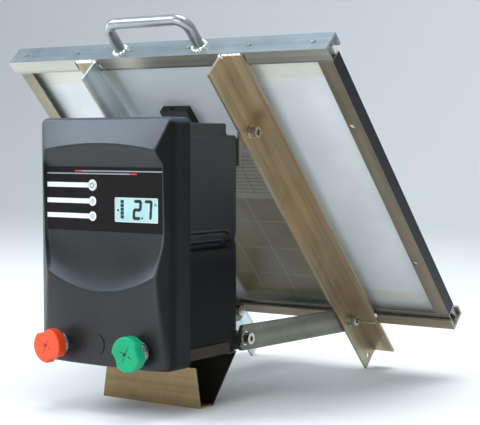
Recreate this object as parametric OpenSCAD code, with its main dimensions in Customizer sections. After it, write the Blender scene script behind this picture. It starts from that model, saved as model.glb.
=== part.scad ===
// Fence energizer in a two-part plastic case, carried on a folded foot and a tray,
// with a tilting solar panel that hangs behind it on two angle rails and two stays.
// Millimetres. +X to the right, +Y to the back, +Z up.
// Origin: centre of the foot's underside, which is also the level of the ground.

/* [Case] */
// Width of the front cover
cover_w = 181; // [160:1:220]
// Height of the front cover
cover_h = 262.9; // [250:0.1:320]
// Depth of the front cover from its rim to the flat of the fascia
cover_depth = 32; // [28:1:45]
// How far the brow above the fascia stands forward
brow_proud = 10; // [6:1:16]
// How far the apron below the fascia stands forward
apron_proud = 8; // [6:1:10]
// Corner radius of the front cover
cover_corner_r = 8.5; // [4:0.5:10]
// Wall of the cover and of the rear housing
case_wall = 3; // [2.5:0.5:4]
// Height of the cover's lower edge above the ground
cover_clearance = 52.3; // [50:0.1:70]
// Depth of the rear housing from the rim to its back
housing_depth = 96; // [90:1:130]
// How far the housing's sides stand in from the cover's sides
housing_inset = 5.5; // [2:0.5:6]
// Height of the hand groove along each side of the housing
groove_h = 18; // [12:1:20]
// Depth of the hand groove
groove_d = 5; // [3:0.5:6]

/* [Fascia] */
// Width of the fascia overlay
fascia_w = 161; // [150:1:165]
// Height of the fascia overlay
fascia_h = 69; // [60:1:72]
// Width of the display window
display_w = 58; // [40:1:60]
// Height of the display window
display_h = 26; // [18:1:28]
// Diameter of the push button's cap
button_d = 9; // [7:0.5:11]
// How far the button goes in
button_travel = 1; // [0.5:0.1:1.5]

/* [Terminals] */
// Distance between the two terminals
terminal_spacing = 108.6; // [90:0.1:118]
// Diameter of the terminal studs
stud_d = 8; // [6:0.5:10]
// Diameter of the terminal knobs
knob_d = 37; // [28:1:42]
// Thickness of the terminal knobs
knob_t = 12; // [9:0.5:16]
// Diameter of the terminal washers
washer_d = 20; // [16:1:24]

/* [Foot and tray] */
// Width of the foot along the ground
foot_w = 136; // [110:1:150]
// Depth of the foot along the ground
foot_d = 25.6; // [20:0.1:40]
// Height of the foot's front plate
foot_front_h = 43.7; // [30:0.1:47]
// Sheet thickness of the foot and the tray
sheet_t = 2; // [1.5:0.5:2.5]
// Height of the tray's side flanges
tray_flange_h = 12; // [8:1:16]

/* [Solar panel] */
// Tilt of the panel below the horizontal
panel_tilt = 46.4; // [44:0.1:49]
// Width of the panel's own frame
panel_w = 436; // [360:1:500]
// Length of the panel's own frame
panel_len = 436.8; // [420:0.1:480]
// Thickness of the panel's own frame
panel_t = 17.2; // [16:0.1:20]
// Width of the frame's back flange
frame_flange_w = 18; // [12:1:22]
// Depth of the edge channels over the panel's edges
channel_depth = 26.2; // [26:0.1:30]
// Length of the channels' lips
channel_lip = 15; // [10:1:18]
// Wall of the channels, rails and brackets
metal_t = 3; // [2.5:0.5:3.5]
// Diameter of the carrying handle's bar
handle_bar_d = 12.5; // [8:0.5:14]
// Distance between the handle's two legs
handle_span = 111; // [90:1:150]
// Height of the handle above the top channel
handle_rise = 44.5; // [35:0.5:60]

/* [Rails and stays] */
// Width of the rails' outward flange
rail_flange = 30.3; // [25:0.1:40]
// Depth of the rails' side flange
rail_depth = 33.5; // [30:0.1:40]
// Width of the stay bars
stay_w = 28; // [22:1:28]
// Thickness of the stay bars
stay_t = 5; // [3:0.5:6]
// Distance between the rail's three stay holes
stay_hole_pitch = 69.5; // [60:0.5:70]
// Diameter of the pivot and stay bolts
bolt_d = 8; // [6:0.5:8]
// Radial clearance of the turning joints
joint_fit = 0.05; // [0.02:0.01:0.1]

/* [Hidden] */

$fn = 48;
eps = 0.01;
big = 500;

// Case: the rim is where the cover and the housing meet
rim_y = -59;
fascia_y = rim_y - cover_depth;
brow_y = fascia_y - brow_proud;
apron_y = fascia_y - apron_proud;
cover_bottom = cover_clearance;
cover_top = cover_bottom + cover_h;
cover_hw = cover_w / 2;
housing_hw = cover_hw - housing_inset;
housing_back = rim_y + housing_depth;
gasket_t = 1;
housing_front = rim_y + gasket_t;
tray_top = cover_bottom + 9.2;
housing_bottom = tray_top;
shoulder_z = cover_top - 18.4;
raised_top = cover_top - 5.7;
raised_hw = housing_hw - 3;
raised_back = housing_back - 16.3;
housing_corner_r = 8;

// Front relief of the cover, as heights above its lower edge
side_land_y = rim_y - cover_depth + 3;
facet_w = 14.5;
brow_edge_z = cover_top - 30;
fascia_top_z = cover_top - 51.2;
fascia_mid_z = fascia_top_z - 0.7 - fascia_h / 2;
bowl_top_z = fascia_top_z - 70.5;
bowl_end_z = cover_bottom + 99;
bowl_drop = 20;
brow_rise = 8;
recess_hw = fascia_w / 2 + 0.6;
recess_foot_hw = cover_hw - 16.5;

// Groove along the housing's sides
groove_z = cover_bottom + 131.2;
groove_front = housing_front + 6;
groove_back = housing_back - 15;

// Indicators, button and display on the fascia
indicator_x = -15;
button_z = cover_top - 71.6;
indicator_z = [cover_top - 88.6, cover_top - 104.6];
indicator_d = 8.5;
display_x = 44;
display_z = cover_top - 96.7;
display_fit = 0.15;
overlay_t = 0.6;
button_gap = 0.3;

// Cover screws, two near the bottom corners and two in the raised top
screw_d = 4;
screw_head_d = 7.6;
cover_screw_low = [housing_hw - 11, housing_bottom + 10];
cover_screw_high = [40, raised_top - 10];
screw_boss_r = 6;
screw_seat_y = housing_front + 13;
screw_len = 29;

// Terminals
terminal_z = cover_bottom + 20;
terminal_x = [-terminal_spacing / 2, terminal_spacing / 2];
shoulder_d = 13;
shoulder_len = 10.2;
terminal_washer_t = 1.6;
seat_washer_d = 25;
knob_gap = 0.4;
knob_back_y = apron_y - shoulder_len - terminal_washer_t - knob_gap;
insert_d = 13;
terminal_nut_t = 6.5;
terminal_nut_af = 13;
apron_wall = 6;

// Panel: its plane leans back, u runs down the slope and w goes back from its sunny side
pivot_y = housing_back + 17.9;
pivot_z = cover_top - 15.3;
pivot_u = 101.5;
pivot_w = 41;
panel_oy = pivot_y - pivot_u * cos(panel_tilt) + pivot_w * sin(panel_tilt);
panel_oz = pivot_z + pivot_u * sin(panel_tilt) + pivot_w * cos(panel_tilt);
frame_gap = 0.2;
channel_hw = panel_w / 2 + 2.5;
frame_hw = panel_w / 2;
frame_u0 = metal_t + frame_gap;
frame_u1 = frame_u0 + panel_len;
bottom_web_u = frame_u1 + frame_gap;
frame_w0 = 4.3;
frame_w1 = frame_w0 + panel_t;
frame_wall = 1.5;
glass_w0 = frame_w0 + 0.7;
glass_t = 3.2;
cells_t = 0.6;
backsheet_t = 1;
backsheet_w1 = glass_w0 + glass_t + cells_t + backsheet_t;
cell_cols = 8;
cell_rows = 8;
cell_gap = 2;

// Rails stand just outside the housing, stays just inside the rails
rail_gap = 1.2;
rail_in = housing_hw + rail_gap;
rail_out = rail_in + metal_t;
rail_w0 = channel_depth - metal_t;
rail_w1 = rail_w0 + rail_depth;
rail_u0 = metal_t;
rail_u1 = (panel_oz - rail_w1 * cos(panel_tilt)) / sin(panel_tilt);
notch_gap = 2;
face_gap = 0.3;
stay_out = rail_in - face_gap;
stay_in = stay_out - stay_t;
ear_out = stay_in - face_gap;
ear_in = ear_out - metal_t;

// Stay pivot at the front and the stay hole in use on the rail
stay_y = housing_back + 9.5;
stay_z = tray_top + 10.5;
stay_hole_u = 423.4;
spare_low_u = stay_hole_u + stay_hole_pitch;
spare_high_u = stay_hole_u - stay_hole_pitch;
stay_end_y = panel_oy + stay_hole_u * cos(panel_tilt) - pivot_w * sin(panel_tilt);
stay_end_z = panel_oz - stay_hole_u * sin(panel_tilt) - pivot_w * cos(panel_tilt);
stay_len = norm([stay_end_y - stay_y, stay_end_z - stay_z]);
stay_angle = atan2(stay_end_z - stay_z, stay_end_y - stay_y);
stay_nose = 7;

// Bolts
bolt_head_d = 1.625 * bolt_d;
bolt_head_h = bolt_d;
bolt_washer_d = 2 * bolt_d;
bolt_washer_t = 1.6;
nut_af = 1.625 * bolt_d;
nut_t = 0.8 * bolt_d;
hex_key_af = 0.75 * bolt_d;
bolt_hole_r = bolt_d / 2 + joint_fit;

// Foot and tray
foot_front_y = -foot_d / 2;
foot_back_y = foot_d / 2;
foot_top_hw = foot_w / 2 - 6;
foot_rear_y = foot_back_y + 20;
tray_bottom = tray_top - sheet_t;
tray_hw = housing_hw + 0.2 + sheet_t;
tray_front = housing_front + 1;
tray_side_end = housing_back - 20;
tray_tail = stay_y + 12;
foot_rear_top = tray_bottom - sheet_t;
foot_rear_hw = tray_hw - 3;

// Inner parts
groove_inner_hw = housing_hw - groove_d - case_wall;
board_t = 1.6;
output_board_z = groove_z + groove_h / 2 + case_wall;
control_board_y = fascia_y + case_wall + 10;
battery_size = [151, 65, 94];
battery_z = housing_bottom + 17.5;
battery_front = housing_front + 20;
floor_screw_x = 50;
tray_screw_y = [-45, 0];
foot_screw_y = foot_back_y + 11;
foot_screw_x = [-55, 0, 55];
floor_screw_d = 5;
floor_screw_len = 14;
floor_boss_r = 6;
bracket_screw_z = [shoulder_z - 26, shoulder_z - 10];
bracket_screw_x = 60;
bracket_screw_d = 5;
bracket_screw_len = 12;

// ---------- helpers ----------

// Box given by its two opposite corners
module box(a, b) {
    translate(a) cube(b - a);
}

// Rounded rectangle in the XZ plane, extruded from y0 back to y1
module slab_y(hw, z0, z1, r, y0, y1) {
    translate([0, y1, 0]) rotate([90, 0, 0]) linear_extrude(y1 - y0) {
        translate([-hw + r, z0]) square([2 * (hw - r), z1 - z0]);
        translate([-hw, z0 + r]) square([2 * hw, z1 - z0 - 2 * r]);
        for (x = [-hw + r, hw - r], z = [z0 + r, z1 - r]) translate([x, z]) circle(r);
    }
}

// Outline in the YZ plane, extruded along X from x0 to x1
module prism_x(points, x0, x1) {
    translate([x0, 0, 0]) rotate([90, 0, 90]) linear_extrude(x1 - x0) polygon(points);
}

// Round bar along Y
module rod_y(r, x, z, y0, y1) {
    translate([x, y0, z]) rotate([-90, 0, 0]) cylinder(r = r, h = y1 - y0);
}

// Round bar along X
module rod_x(r, y, z, x0, x1) {
    translate([x0, y, z]) rotate([0, 90, 0]) cylinder(r = r, h = x1 - x0);
}

// Round bar along Z
module rod_z(r, x, y, z0, z1) {
    translate([x, y, z0]) cylinder(r = r, h = z1 - z0);
}

// Hexagon along X, sized across its flats
module hex_x(af, y, z, x0, x1) {
    translate([x0, y, z]) rotate([0, 90, 0]) cylinder(d = af / cos(30), h = x1 - x0, $fn = 6);
}

// The same child on both sides
module both_sides() {
    children();
    mirror([1, 0, 0]) children();
}

// Places children given as x, u, -w in the panel's leaning plane
module in_panel() {
    translate([0, panel_oy, panel_oz]) rotate([-panel_tilt, 0, 0]) children();
}

// Box in the panel's plane
module plate(x0, x1, u0, u1, w0, w1) {
    translate([x0, u0, -w1]) cube([x1 - x0, u1 - u0, w1 - w0]);
}

// Socket-head bolt on the +X side: its head sits on a face at x_face
module socket_bolt(y, z, x_face, x_end) {
    head_x = x_face + bolt_washer_t;
    difference() {
        union() {
            rod_x(bolt_washer_d / 2, y, z, x_face, head_x);
            rod_x(bolt_head_d / 2, y, z, head_x, head_x + bolt_head_h);
            rod_x(bolt_d / 2, y, z, x_end, head_x);
        }
        hex_x(hex_key_af, y, z, head_x + bolt_head_h / 2, head_x + bolt_head_h + 1);
    }
}

// Hexagon nut on the +X side, with its outer face at x_face
module inner_nut(y, z, x_face) {
    difference() {
        hex_x(nut_af, y, z, x_face - nut_t, x_face);
        rod_x(bolt_d / 2, y, z, x_face - nut_t - 1, x_face + 1);
    }
}

// ---------- case ----------

// Plan of the cover: flat front with a facet towards each side
module cover_plan() {
    translate([0, 0, cover_bottom]) linear_extrude(cover_h) polygon([
        [-cover_hw, rim_y], [cover_hw, rim_y], [cover_hw, side_land_y],
        [cover_hw - facet_w * 0.6, apron_y + 5.5], [cover_hw - facet_w, brow_y],
        [-cover_hw + facet_w, brow_y], [-cover_hw + facet_w * 0.6, apron_y + 5.5],
        [-cover_hw, side_land_y]
    ]);
}

// Side view of the cover: brow above, apron below
module cover_profile() {
    prism_x([
        [rim_y, cover_bottom], [apron_y + 5, cover_bottom], [apron_y, cover_bottom + 8],
        [apron_y, bowl_end_z - bowl_drop], [brow_y, brow_edge_z], [fascia_y, cover_top - 3],
        [fascia_y + 3, cover_top], [rim_y, cover_top]
    ], -cover_hw, cover_hw);
}

// Face outline of the recess between the brow's arch and the apron's bowl
module recess_outline() {
    arch_r = (pow(recess_hw - 5, 2) + pow(brow_rise, 2)) / (2 * brow_rise);
    bowl_r = (pow(recess_foot_hw, 2) + pow(bowl_drop, 2)) / (2 * bowl_drop);
    intersection() {
        polygon([
            [-recess_foot_hw, bowl_end_z - bowl_drop], [recess_foot_hw, bowl_end_z - bowl_drop],
            [recess_foot_hw, bowl_end_z], [recess_hw, bowl_top_z - 15],
            [recess_hw, fascia_top_z + 2], [recess_hw - 5, brow_edge_z - 2],
            [recess_hw - 5, brow_edge_z + brow_rise], [-recess_hw + 5, brow_edge_z + brow_rise],
            [-recess_hw + 5, brow_edge_z - 2], [-recess_hw, fascia_top_z + 2],
            [-recess_hw, bowl_top_z - 15], [-recess_foot_hw, bowl_end_z]
        ]);
        translate([0, brow_edge_z + brow_rise - 2 - arch_r]) circle(arch_r, $fn = 240);
        translate([0, bowl_end_z - bowl_drop + bowl_r]) circle(bowl_r, $fn = 240);
    }
}

// Space in front of the fascia: sloping under the brow, flat, then a bowl
module recess_cut() {
    intersection() {
        translate([0, fascia_y + 1, 0]) rotate([90, 0, 0]) linear_extrude(40) recess_outline();
        prism_x([
            [fascia_y, bowl_top_z], [fascia_y, fascia_top_z], [brow_y, brow_edge_z + brow_rise],
            [brow_y - 20, brow_edge_z + brow_rise], [brow_y - 20, bowl_end_z - bowl_drop],
            [apron_y - eps, bowl_end_z - bowl_drop]
        ], -cover_hw, cover_hw);
    }
}

// Where the cover and housing are screwed together: x and z of the four screws
module at_cover_screws() {
    for (s = [-1, 1], p = [cover_screw_low, cover_screw_high]) translate([s * p[0], 0, p[1]]) children();
}

module front_cover() {
    inner_hw = cover_hw - case_wall;
    color([0.09, 0.09, 0.10]) difference() {
        union() {
            difference() {
                intersection() {
                    slab_y(cover_hw, cover_bottom, cover_top, cover_corner_r, brow_y - 1, rim_y);
                    cover_plan();
                    cover_profile();
                }
                recess_cut();
                slab_y(inner_hw, cover_bottom + case_wall, cover_top - case_wall,
                       cover_corner_r - case_wall, side_land_y + case_wall, rim_y + 1);
                slab_y(inner_hw - facet_w, cover_bottom + case_wall, cover_top - case_wall,
                       3, fascia_y + case_wall, rim_y);
                box([-inner_hw + facet_w + 4, apron_y + apron_wall, cover_bottom + 8],
                    [inner_hw - facet_w - 4, rim_y, bowl_end_z - bowl_drop - 5]);
            }
            at_cover_screws() rod_y(screw_boss_r - 1, 0, 0, fascia_y + case_wall - eps, rim_y - 0.5);
        }
        at_cover_screws() rod_y(screw_d / 2, 0, 0, screw_seat_y - screw_len - 1, rim_y);
        for (x = terminal_x) rod_y(stud_d / 2 + 0.2, x, terminal_z, brow_y, rim_y);
        box([display_x - display_w / 2 - display_fit, fascia_y - 1, display_z - display_h / 2 - display_fit],
            [display_x + display_w / 2 + display_fit, rim_y, display_z + display_h / 2 + display_fit]);
        for (z = indicator_z) rod_y(indicator_d / 2, indicator_x, z, fascia_y - 1, rim_y);
        rod_y(button_d / 2 + button_gap, indicator_x, button_z, fascia_y - 1, rim_y);
        rod_y(plug_d / 2, plug_x, plug_z, brow_y, rim_y);
    }
}

module rear_housing() {
    color([0.07, 0.07, 0.08]) difference() {
        union() {
            difference() {
                union() {
                    slab_y(housing_hw, housing_bottom, shoulder_z, housing_corner_r, housing_front, housing_back);
                    slab_y(raised_hw, shoulder_z - 20, raised_top, 6, housing_front, raised_back);
                }
                difference() {
                    union() {
                        slab_y(housing_hw - case_wall, housing_bottom + case_wall, shoulder_z - case_wall,
                               housing_corner_r - case_wall, housing_front - 1, housing_back - case_wall);
                        slab_y(raised_hw - case_wall, shoulder_z - 20, raised_top - case_wall, 3,
                               housing_front - 1, raised_back - case_wall);
                    }
                    both_sides() groove(groove_d + case_wall, groove_h / 2 + case_wall, housing_front);
                }
                both_sides() groove(groove_d, groove_h / 2, groove_front);
            }
            intersection() {
                slab_y(housing_hw - 1, housing_bottom + 1, raised_top - 1, 5, housing_front, housing_back - 1);
                union() {
                    for (s = [-1, 1]) {
                        rod_y(screw_boss_r, s * cover_screw_low[0], cover_screw_low[1],
                              housing_front, housing_back - 1);
                        rod_y(screw_boss_r, s * cover_screw_high[0], cover_screw_high[1],
                              housing_front, raised_back - 1);
                        for (z = bracket_screw_z)
                            rod_y(5, s * bracket_screw_x, z, housing_back - bracket_screw_len, housing_back - 1);
                        box([s * floor_screw_x - 8, housing_front + 4, housing_bottom + 1],
                            [s * floor_screw_x + 8, battery_front + battery_size[1], battery_z]);
                    }
                    for (x = foot_screw_x)
                        rod_z(floor_boss_r, x, foot_screw_y, housing_bottom + 1, battery_z);
                }
            }
        }
        for (s = [-1, 1]) {
            screw_bore(s * cover_screw_low[0], cover_screw_low[1], housing_back + 1);
            screw_bore(s * cover_screw_high[0], cover_screw_high[1], raised_back + 1);
            for (z = bracket_screw_z)
                rod_y(bracket_screw_d / 2, s * bracket_screw_x, z, housing_back - 10, housing_back + 1);
            for (y = tray_screw_y)
                rod_z(floor_screw_d / 2, s * floor_screw_x, y, housing_bottom - 1,
                      tray_bottom + floor_screw_len + 0.5);
        }
        for (x = foot_screw_x)
            rod_z(floor_screw_d / 2, x, foot_screw_y, housing_bottom - 1,
                  foot_rear_top + floor_screw_len + 0.5);
        rod_x(socket_d / 2, socket_y, socket_z, -housing_hw - 1, -housing_hw + 10);
        prism_x([[housing_back + 1, housing_bottom + 11], [housing_back, housing_bottom + 9],
                 [housing_back - 4, housing_bottom], [housing_back - 4, housing_bottom - 1],
                 [housing_back + 1, housing_bottom - 1]], -housing_hw - 1, housing_hw + 1);
    }
}

// Groove on the +X side, ending in a half round
module groove(depth, half_h, y0) {
    box([housing_hw - depth, y0, groove_z - half_h], [housing_hw + eps, groove_back - half_h, groove_z + half_h]);
    rod_x(half_h, groove_back - half_h, groove_z, housing_hw - depth, housing_hw + eps);
}

// Clearance hole for a cover screw, with the deep hole that its head goes down
module screw_bore(x, z, y_end) {
    rod_y(screw_d / 2 + 0.2, x, z, housing_front - 1, y_end);
    rod_y(screw_head_d / 2 + 0.2, x, z, screw_seat_y, y_end);
}

module cover_gasket() {
    color([0.16, 0.16, 0.16]) difference() {
        slab_y(housing_hw - 0.5, housing_bottom + 0.5, raised_top - 0.5, 5, rim_y, housing_front);
        slab_y(housing_hw - case_wall, housing_bottom + case_wall, raised_top - case_wall, 3,
               rim_y - 1, housing_front + 1);
    }
}

module cover_screws() {
    color([0.7, 0.7, 0.72]) at_cover_screws() difference() {
        union() {
            rod_y(screw_d / 2, 0, 0, screw_seat_y - screw_len, screw_seat_y);
            rod_y(screw_head_d / 2, 0, 0, screw_seat_y, screw_seat_y + 3);
        }
        for (turn = [0, 90]) rotate([0, turn, 0])
            box([-2.2, screw_seat_y + 1.2, -0.5], [2.2, screw_seat_y + 4, 0.5]);
    }
}

// ---------- fascia ----------

module fascia_overlay() {
    color([0.05, 0.05, 0.06]) difference() {
        slab_y(fascia_w / 2, fascia_mid_z - fascia_h / 2 + 0.5, fascia_mid_z + fascia_h / 2 - 0.5, 2,
               fascia_y - overlay_t, fascia_y);
        box([display_x - display_w / 2, fascia_y - 2, display_z - display_h / 2],
            [display_x + display_w / 2, fascia_y + 1, display_z + display_h / 2]);
        for (z = indicator_z) rod_y(indicator_d / 2, indicator_x, z, fascia_y - 2, fascia_y + 1);
        rod_y(button_d / 2 + button_gap, indicator_x, button_z, fascia_y - 2, fascia_y + 1);
    }
}

module display_window() {
    color([0.72, 0.86, 0.86]) box(
        [display_x - display_w / 2, fascia_y, display_z - display_h / 2],
        [display_x + display_w / 2, fascia_y + 2, display_z + display_h / 2]);
}

module display_module() {
    color([0.25, 0.35, 0.3]) box(
        [display_x - display_w / 2 + 1, fascia_y + 2, display_z - display_h / 2 + 1],
        [display_x + display_w / 2 - 1, control_board_y, display_z + display_h / 2 - 1]);
}

module indicator_lenses() {
    color([0.92, 0.93, 0.95]) for (z = indicator_z) {
        rod_y(indicator_d / 2, indicator_x, z, fascia_y - overlay_t, fascia_y + case_wall);
        rod_y(indicator_d / 2 + 1, indicator_x, z, fascia_y + case_wall, fascia_y + case_wall + 1);
    }
}

module status_leds() {
    color([0.9, 0.2, 0.15]) for (z = indicator_z) {
        rod_y(1.5, indicator_x, z, control_board_y - 5, control_board_y);
        translate([indicator_x, control_board_y - 5, z]) sphere(1.5);
    }
}

module power_button() {
    color([0.93, 0.93, 0.95]) {
        rod_y(button_d / 2, indicator_x, button_z, fascia_y - 1.6, fascia_y + case_wall + 0.2);
        rod_y(button_d / 2 + 1.2, indicator_x, button_z, fascia_y + case_wall + 0.2, fascia_y + case_wall + 1.2);
        rod_y(1.5, indicator_x, button_z, fascia_y + case_wall + 1.2, fascia_y + case_wall + 3);
    }
}

module power_switch() {
    color([0.15, 0.15, 0.16]) box(
        [indicator_x - 3, fascia_y + case_wall + 3 + button_travel + 0.4, button_z - 3],
        [indicator_x + 3, control_board_y, button_z + 3]);
}

module at_board_screws() {
    for (x = [-66, 66], z = [bowl_top_z + 8.5, fascia_top_z - 4]) translate([x, 0, z]) children();
}

module control_board() {
    color([0.05, 0.35, 0.2]) difference() {
        box([-72, control_board_y, bowl_top_z + 4], [75, control_board_y + board_t, fascia_top_z + 2]);
        at_board_screws() rod_y(1.6, 0, 0, control_board_y - 1, control_board_y + board_t + 1);
    }
}

module control_board_screws() {
    color([0.75, 0.75, 0.77]) at_board_screws() {
        rod_y(1.5, 0, 0, fascia_y + case_wall, control_board_y + board_t);
        rod_y(2.8, 0, 0, fascia_y + case_wall, control_board_y);
        rod_y(2.8, 0, 0, control_board_y + board_t, control_board_y + board_t + 2);
    }
}

// ---------- inside the housing ----------

module output_board() {
    color([0.05, 0.3, 0.2]) box(
        [-groove_inner_hw - 2, housing_front + 6, output_board_z],
        [groove_inner_hw + 2, groove_back - groove_h / 2 - case_wall, output_board_z + board_t]);
}

module storage_capacitors() {
    color([0.15, 0.3, 0.55]) for (x = [22, 60])
        rod_z(17, x, housing_front + 34, output_board_z + board_t, output_board_z + board_t + 70);
}

transformer_x = -42;
transformer_y = housing_front + 34;
core_size = [66, 22, 56];
module transformer_core() {
    z0 = output_board_z + board_t;
    hx = core_size[0] / 2;
    hy = core_size[1] / 2;
    color([0.35, 0.36, 0.38]) translate([transformer_x, transformer_y, z0]) difference() {
        box([-hx, -hy, 0], [hx, hy, core_size[2]]);
        for (s = [-1, 1]) box([s * hx * 0.5 - 5.5, -hy - 1, 11], [s * hx * 0.5 + 5.5, hy + 1, core_size[2] - 11]);
    }
}

module transformer_winding() {
    z0 = output_board_z + board_t;
    color([0.72, 0.4, 0.18]) translate([transformer_x, transformer_y, z0 + 11]) difference() {
        box([-21, -20, 0], [21, 20, core_size[2] - 22]);
        box([-11, -core_size[1] / 2, -1], [11, core_size[1] / 2, core_size[2]]);
    }
}

module battery() {
    hx = battery_size[0] / 2;
    color([0.2, 0.22, 0.25]) {
        box([-hx, battery_front, battery_z], [hx, battery_front + battery_size[1], battery_z + battery_size[2] - 5]);
        for (x = [-hx + 14, hx - 14])
            box([x - 3, battery_front + 10, battery_z + battery_size[2] - 5],
                [x + 3, battery_front + 16, battery_z + battery_size[2]]);
    }
}

module battery_pad() {
    color([0.3, 0.3, 0.32]) box([-40, battery_front + 20, battery_z + battery_size[2] - 5],
                                [40, battery_front + 50, output_board_z]);
}

// ---------- terminals ----------

module terminal_studs() {
    color([0.8, 0.8, 0.82]) for (x = terminal_x) {
        rod_y(stud_d / 2, x, terminal_z, knob_back_y - knob_t + 2, apron_y + apron_wall + terminal_nut_t + 4);
        rod_y(shoulder_d / 2, x, terminal_z, apron_y - shoulder_len, apron_y);
    }
}

// A washer under each knob and a larger one on the cover
module terminal_washers() {
    color([0.82, 0.82, 0.84]) for (x = terminal_x) {
        difference() {
            rod_y(washer_d / 2, x, terminal_z, apron_y - shoulder_len - terminal_washer_t,
                  apron_y - shoulder_len);
            rod_y(stud_d / 2, x, terminal_z, apron_y - shoulder_len - terminal_washer_t - 1, apron_y);
        }
        difference() {
            rod_y(seat_washer_d / 2, x, terminal_z, apron_y - terminal_washer_t, apron_y);
            rod_y(shoulder_d / 2 + 0.1, x, terminal_z, apron_y - terminal_washer_t - 1, apron_y + 1);
        }
    }
}

module terminal_nuts() {
    color([0.8, 0.8, 0.82]) for (x = terminal_x) difference() {
        translate([x, apron_y + apron_wall, terminal_z]) rotate([-90, 0, 0])
            cylinder(d = terminal_nut_af / cos(30), h = terminal_nut_t, $fn = 6);
        rod_y(stud_d / 2, x, terminal_z, apron_y, apron_y + apron_wall + terminal_nut_t + 1);
    }
}

// Knob with two shallow finger scallops and a bore for its metal insert
module knob(x, turn) {
    translate([x, knob_back_y, terminal_z]) rotate([90, 0, 0]) difference() {
        cylinder(d = knob_d, h = knob_t);
        for (a = [turn, turn + 188]) rotate([0, 0, a])
            translate([knob_d * 0.95, 0, -1]) cylinder(r = knob_d * 0.55, h = knob_t + 2);
        translate([0, 0, -1]) cylinder(d = insert_d, h = knob_t - 2);
        cylinder(r = stud_d / 2 + 0.5, h = knob_t + 1);
    }
}

module knob_insert(x) {
    difference() {
        rod_y(insert_d / 2, x, terminal_z, knob_back_y - knob_t + 3, knob_back_y);
        rod_y(stud_d / 2 + joint_fit, x, terminal_z, knob_back_y - knob_t, knob_back_y + 1);
    }
}

module red_knob() { color([0.93, 0.3, 0.16]) knob(terminal_x[0], 110); }
module red_knob_insert() { color([0.78, 0.68, 0.4]) knob_insert(terminal_x[0]); }
module green_knob() { color([0.05, 0.7, 0.48]) knob(terminal_x[1], 17); }
module green_knob_insert() { color([0.78, 0.68, 0.4]) knob_insert(terminal_x[1]); }

plug_x = -5;
plug_z = cover_bottom + 22.7;
plug_d = 18;
plug_head_d = 23;
module blanking_plug() {
    color([0.1, 0.1, 0.11]) {
        rod_y(plug_head_d / 2, plug_x, plug_z, apron_y - 1, apron_y);
        rod_y(plug_d / 2, plug_x, plug_z, apron_y, apron_y + apron_wall + 2);
    }
}

socket_y = 10;
socket_z = housing_bottom + 50;
socket_d = 12;
socket_bore_r = 2.75;
module panel_socket() {
    color([0.12, 0.12, 0.13]) difference() {
        union() {
            rod_x(9, socket_y, socket_z, -housing_hw - 3, -housing_hw);
            rod_x(socket_d / 2, socket_y, socket_z, -housing_hw - 9, -housing_hw + 5);
        }
        rod_x(socket_bore_r, socket_y, socket_z, -housing_hw - 10, -housing_hw + 3);
    }
}

// ---------- foot and tray ----------

module tray() {
    color([0.66, 0.62, 0.55]) difference() {
        union() {
            box([-tray_hw, tray_front, tray_bottom], [tray_hw, tray_side_end, tray_top]);
            box([-ear_out, tray_side_end - 1, tray_bottom], [ear_out, tray_tail, tray_top]);
            both_sides() {
                box([tray_hw - sheet_t, tray_front, tray_bottom],
                    [tray_hw, tray_side_end - tray_flange_h / 2, tray_bottom + tray_flange_h]);
                rod_x(tray_flange_h / 2, tray_side_end - tray_flange_h / 2, tray_bottom + tray_flange_h / 2,
                      tray_hw - sheet_t, tray_hw);
            }
        }
        for (s = [-1, 1], y = tray_screw_y)
            rod_z(floor_screw_d / 2, s * floor_screw_x, y, tray_bottom - 1, tray_top + 1);
        for (x = foot_screw_x) rod_z(floor_screw_d / 2, x, foot_screw_y, tray_bottom - 1, tray_top + 1);
        both_sides() for (y = rivet_y) rod_z(rivet_d / 2, rivet_x, y, tray_bottom - 1, tray_top + 1);
    }
}

// Pan-head screw pointing up, its head under a face at z
module floor_screw(x, y, z) {
    rod_z(floor_screw_d / 2, x, y, z - 1, z + floor_screw_len);
    rod_z(floor_screw_d * 0.9, x, y, z - 3, z);
}

module tray_screws() {
    color([0.75, 0.75, 0.77])
        for (s = [-1, 1], y = tray_screw_y) floor_screw(s * floor_screw_x, y, tray_bottom);
}

// Folded section of the foot: front plate, ground plate, leaning rear plate and top flange
module foot_section() {
    slope = (foot_rear_y - foot_back_y) / foot_rear_top;
    inset = sheet_t * sqrt(1 + slope * slope);
    prism_x([
        [foot_front_y, 0], [foot_back_y, 0], [foot_rear_y + sheet_t * slope, foot_rear_top + sheet_t],
        [foot_back_y + 4, foot_rear_top + sheet_t], [foot_back_y + 4, foot_rear_top],
        [foot_rear_y - inset, foot_rear_top], [foot_back_y + sheet_t * slope - inset, sheet_t],
        [foot_front_y + sheet_t, sheet_t], [foot_front_y + sheet_t, foot_front_h],
        [foot_front_y, foot_front_h]
    ], -big, big);
}

// Face outline of a plate that is foot_w wide at the ground and 2 * hw wide at height z
module foot_outline(hw, z, y0, y1) {
    translate([0, y1, 0]) rotate([90, 0, 0]) linear_extrude(y1 - y0) polygon([
        [-foot_w / 2, -1], [foot_w / 2, -1], [foot_w / 2, sheet_t], [hw, z], [hw, z + big],
        [-hw, z + big], [-hw, z], [-foot_w / 2, sheet_t]
    ]);
}

module foot_bracket() {
    color([0.72, 0.66, 0.56]) difference() {
        intersection() {
            foot_section();
            union() {
                foot_outline(foot_top_hw, foot_front_h, foot_front_y - 1, 0);
                foot_outline(foot_rear_hw, foot_rear_top, -eps, foot_rear_y + 10);
            }
        }
        for (x = foot_screw_x)
            rod_z(floor_screw_d / 2, x, foot_screw_y, foot_rear_top - 1, foot_rear_top + sheet_t + 1);
    }
}

module foot_screws() {
    color([0.75, 0.75, 0.77]) for (x = foot_screw_x) floor_screw(x, foot_screw_y, foot_rear_top);
}

// ---------- brackets and pivots ----------

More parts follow.
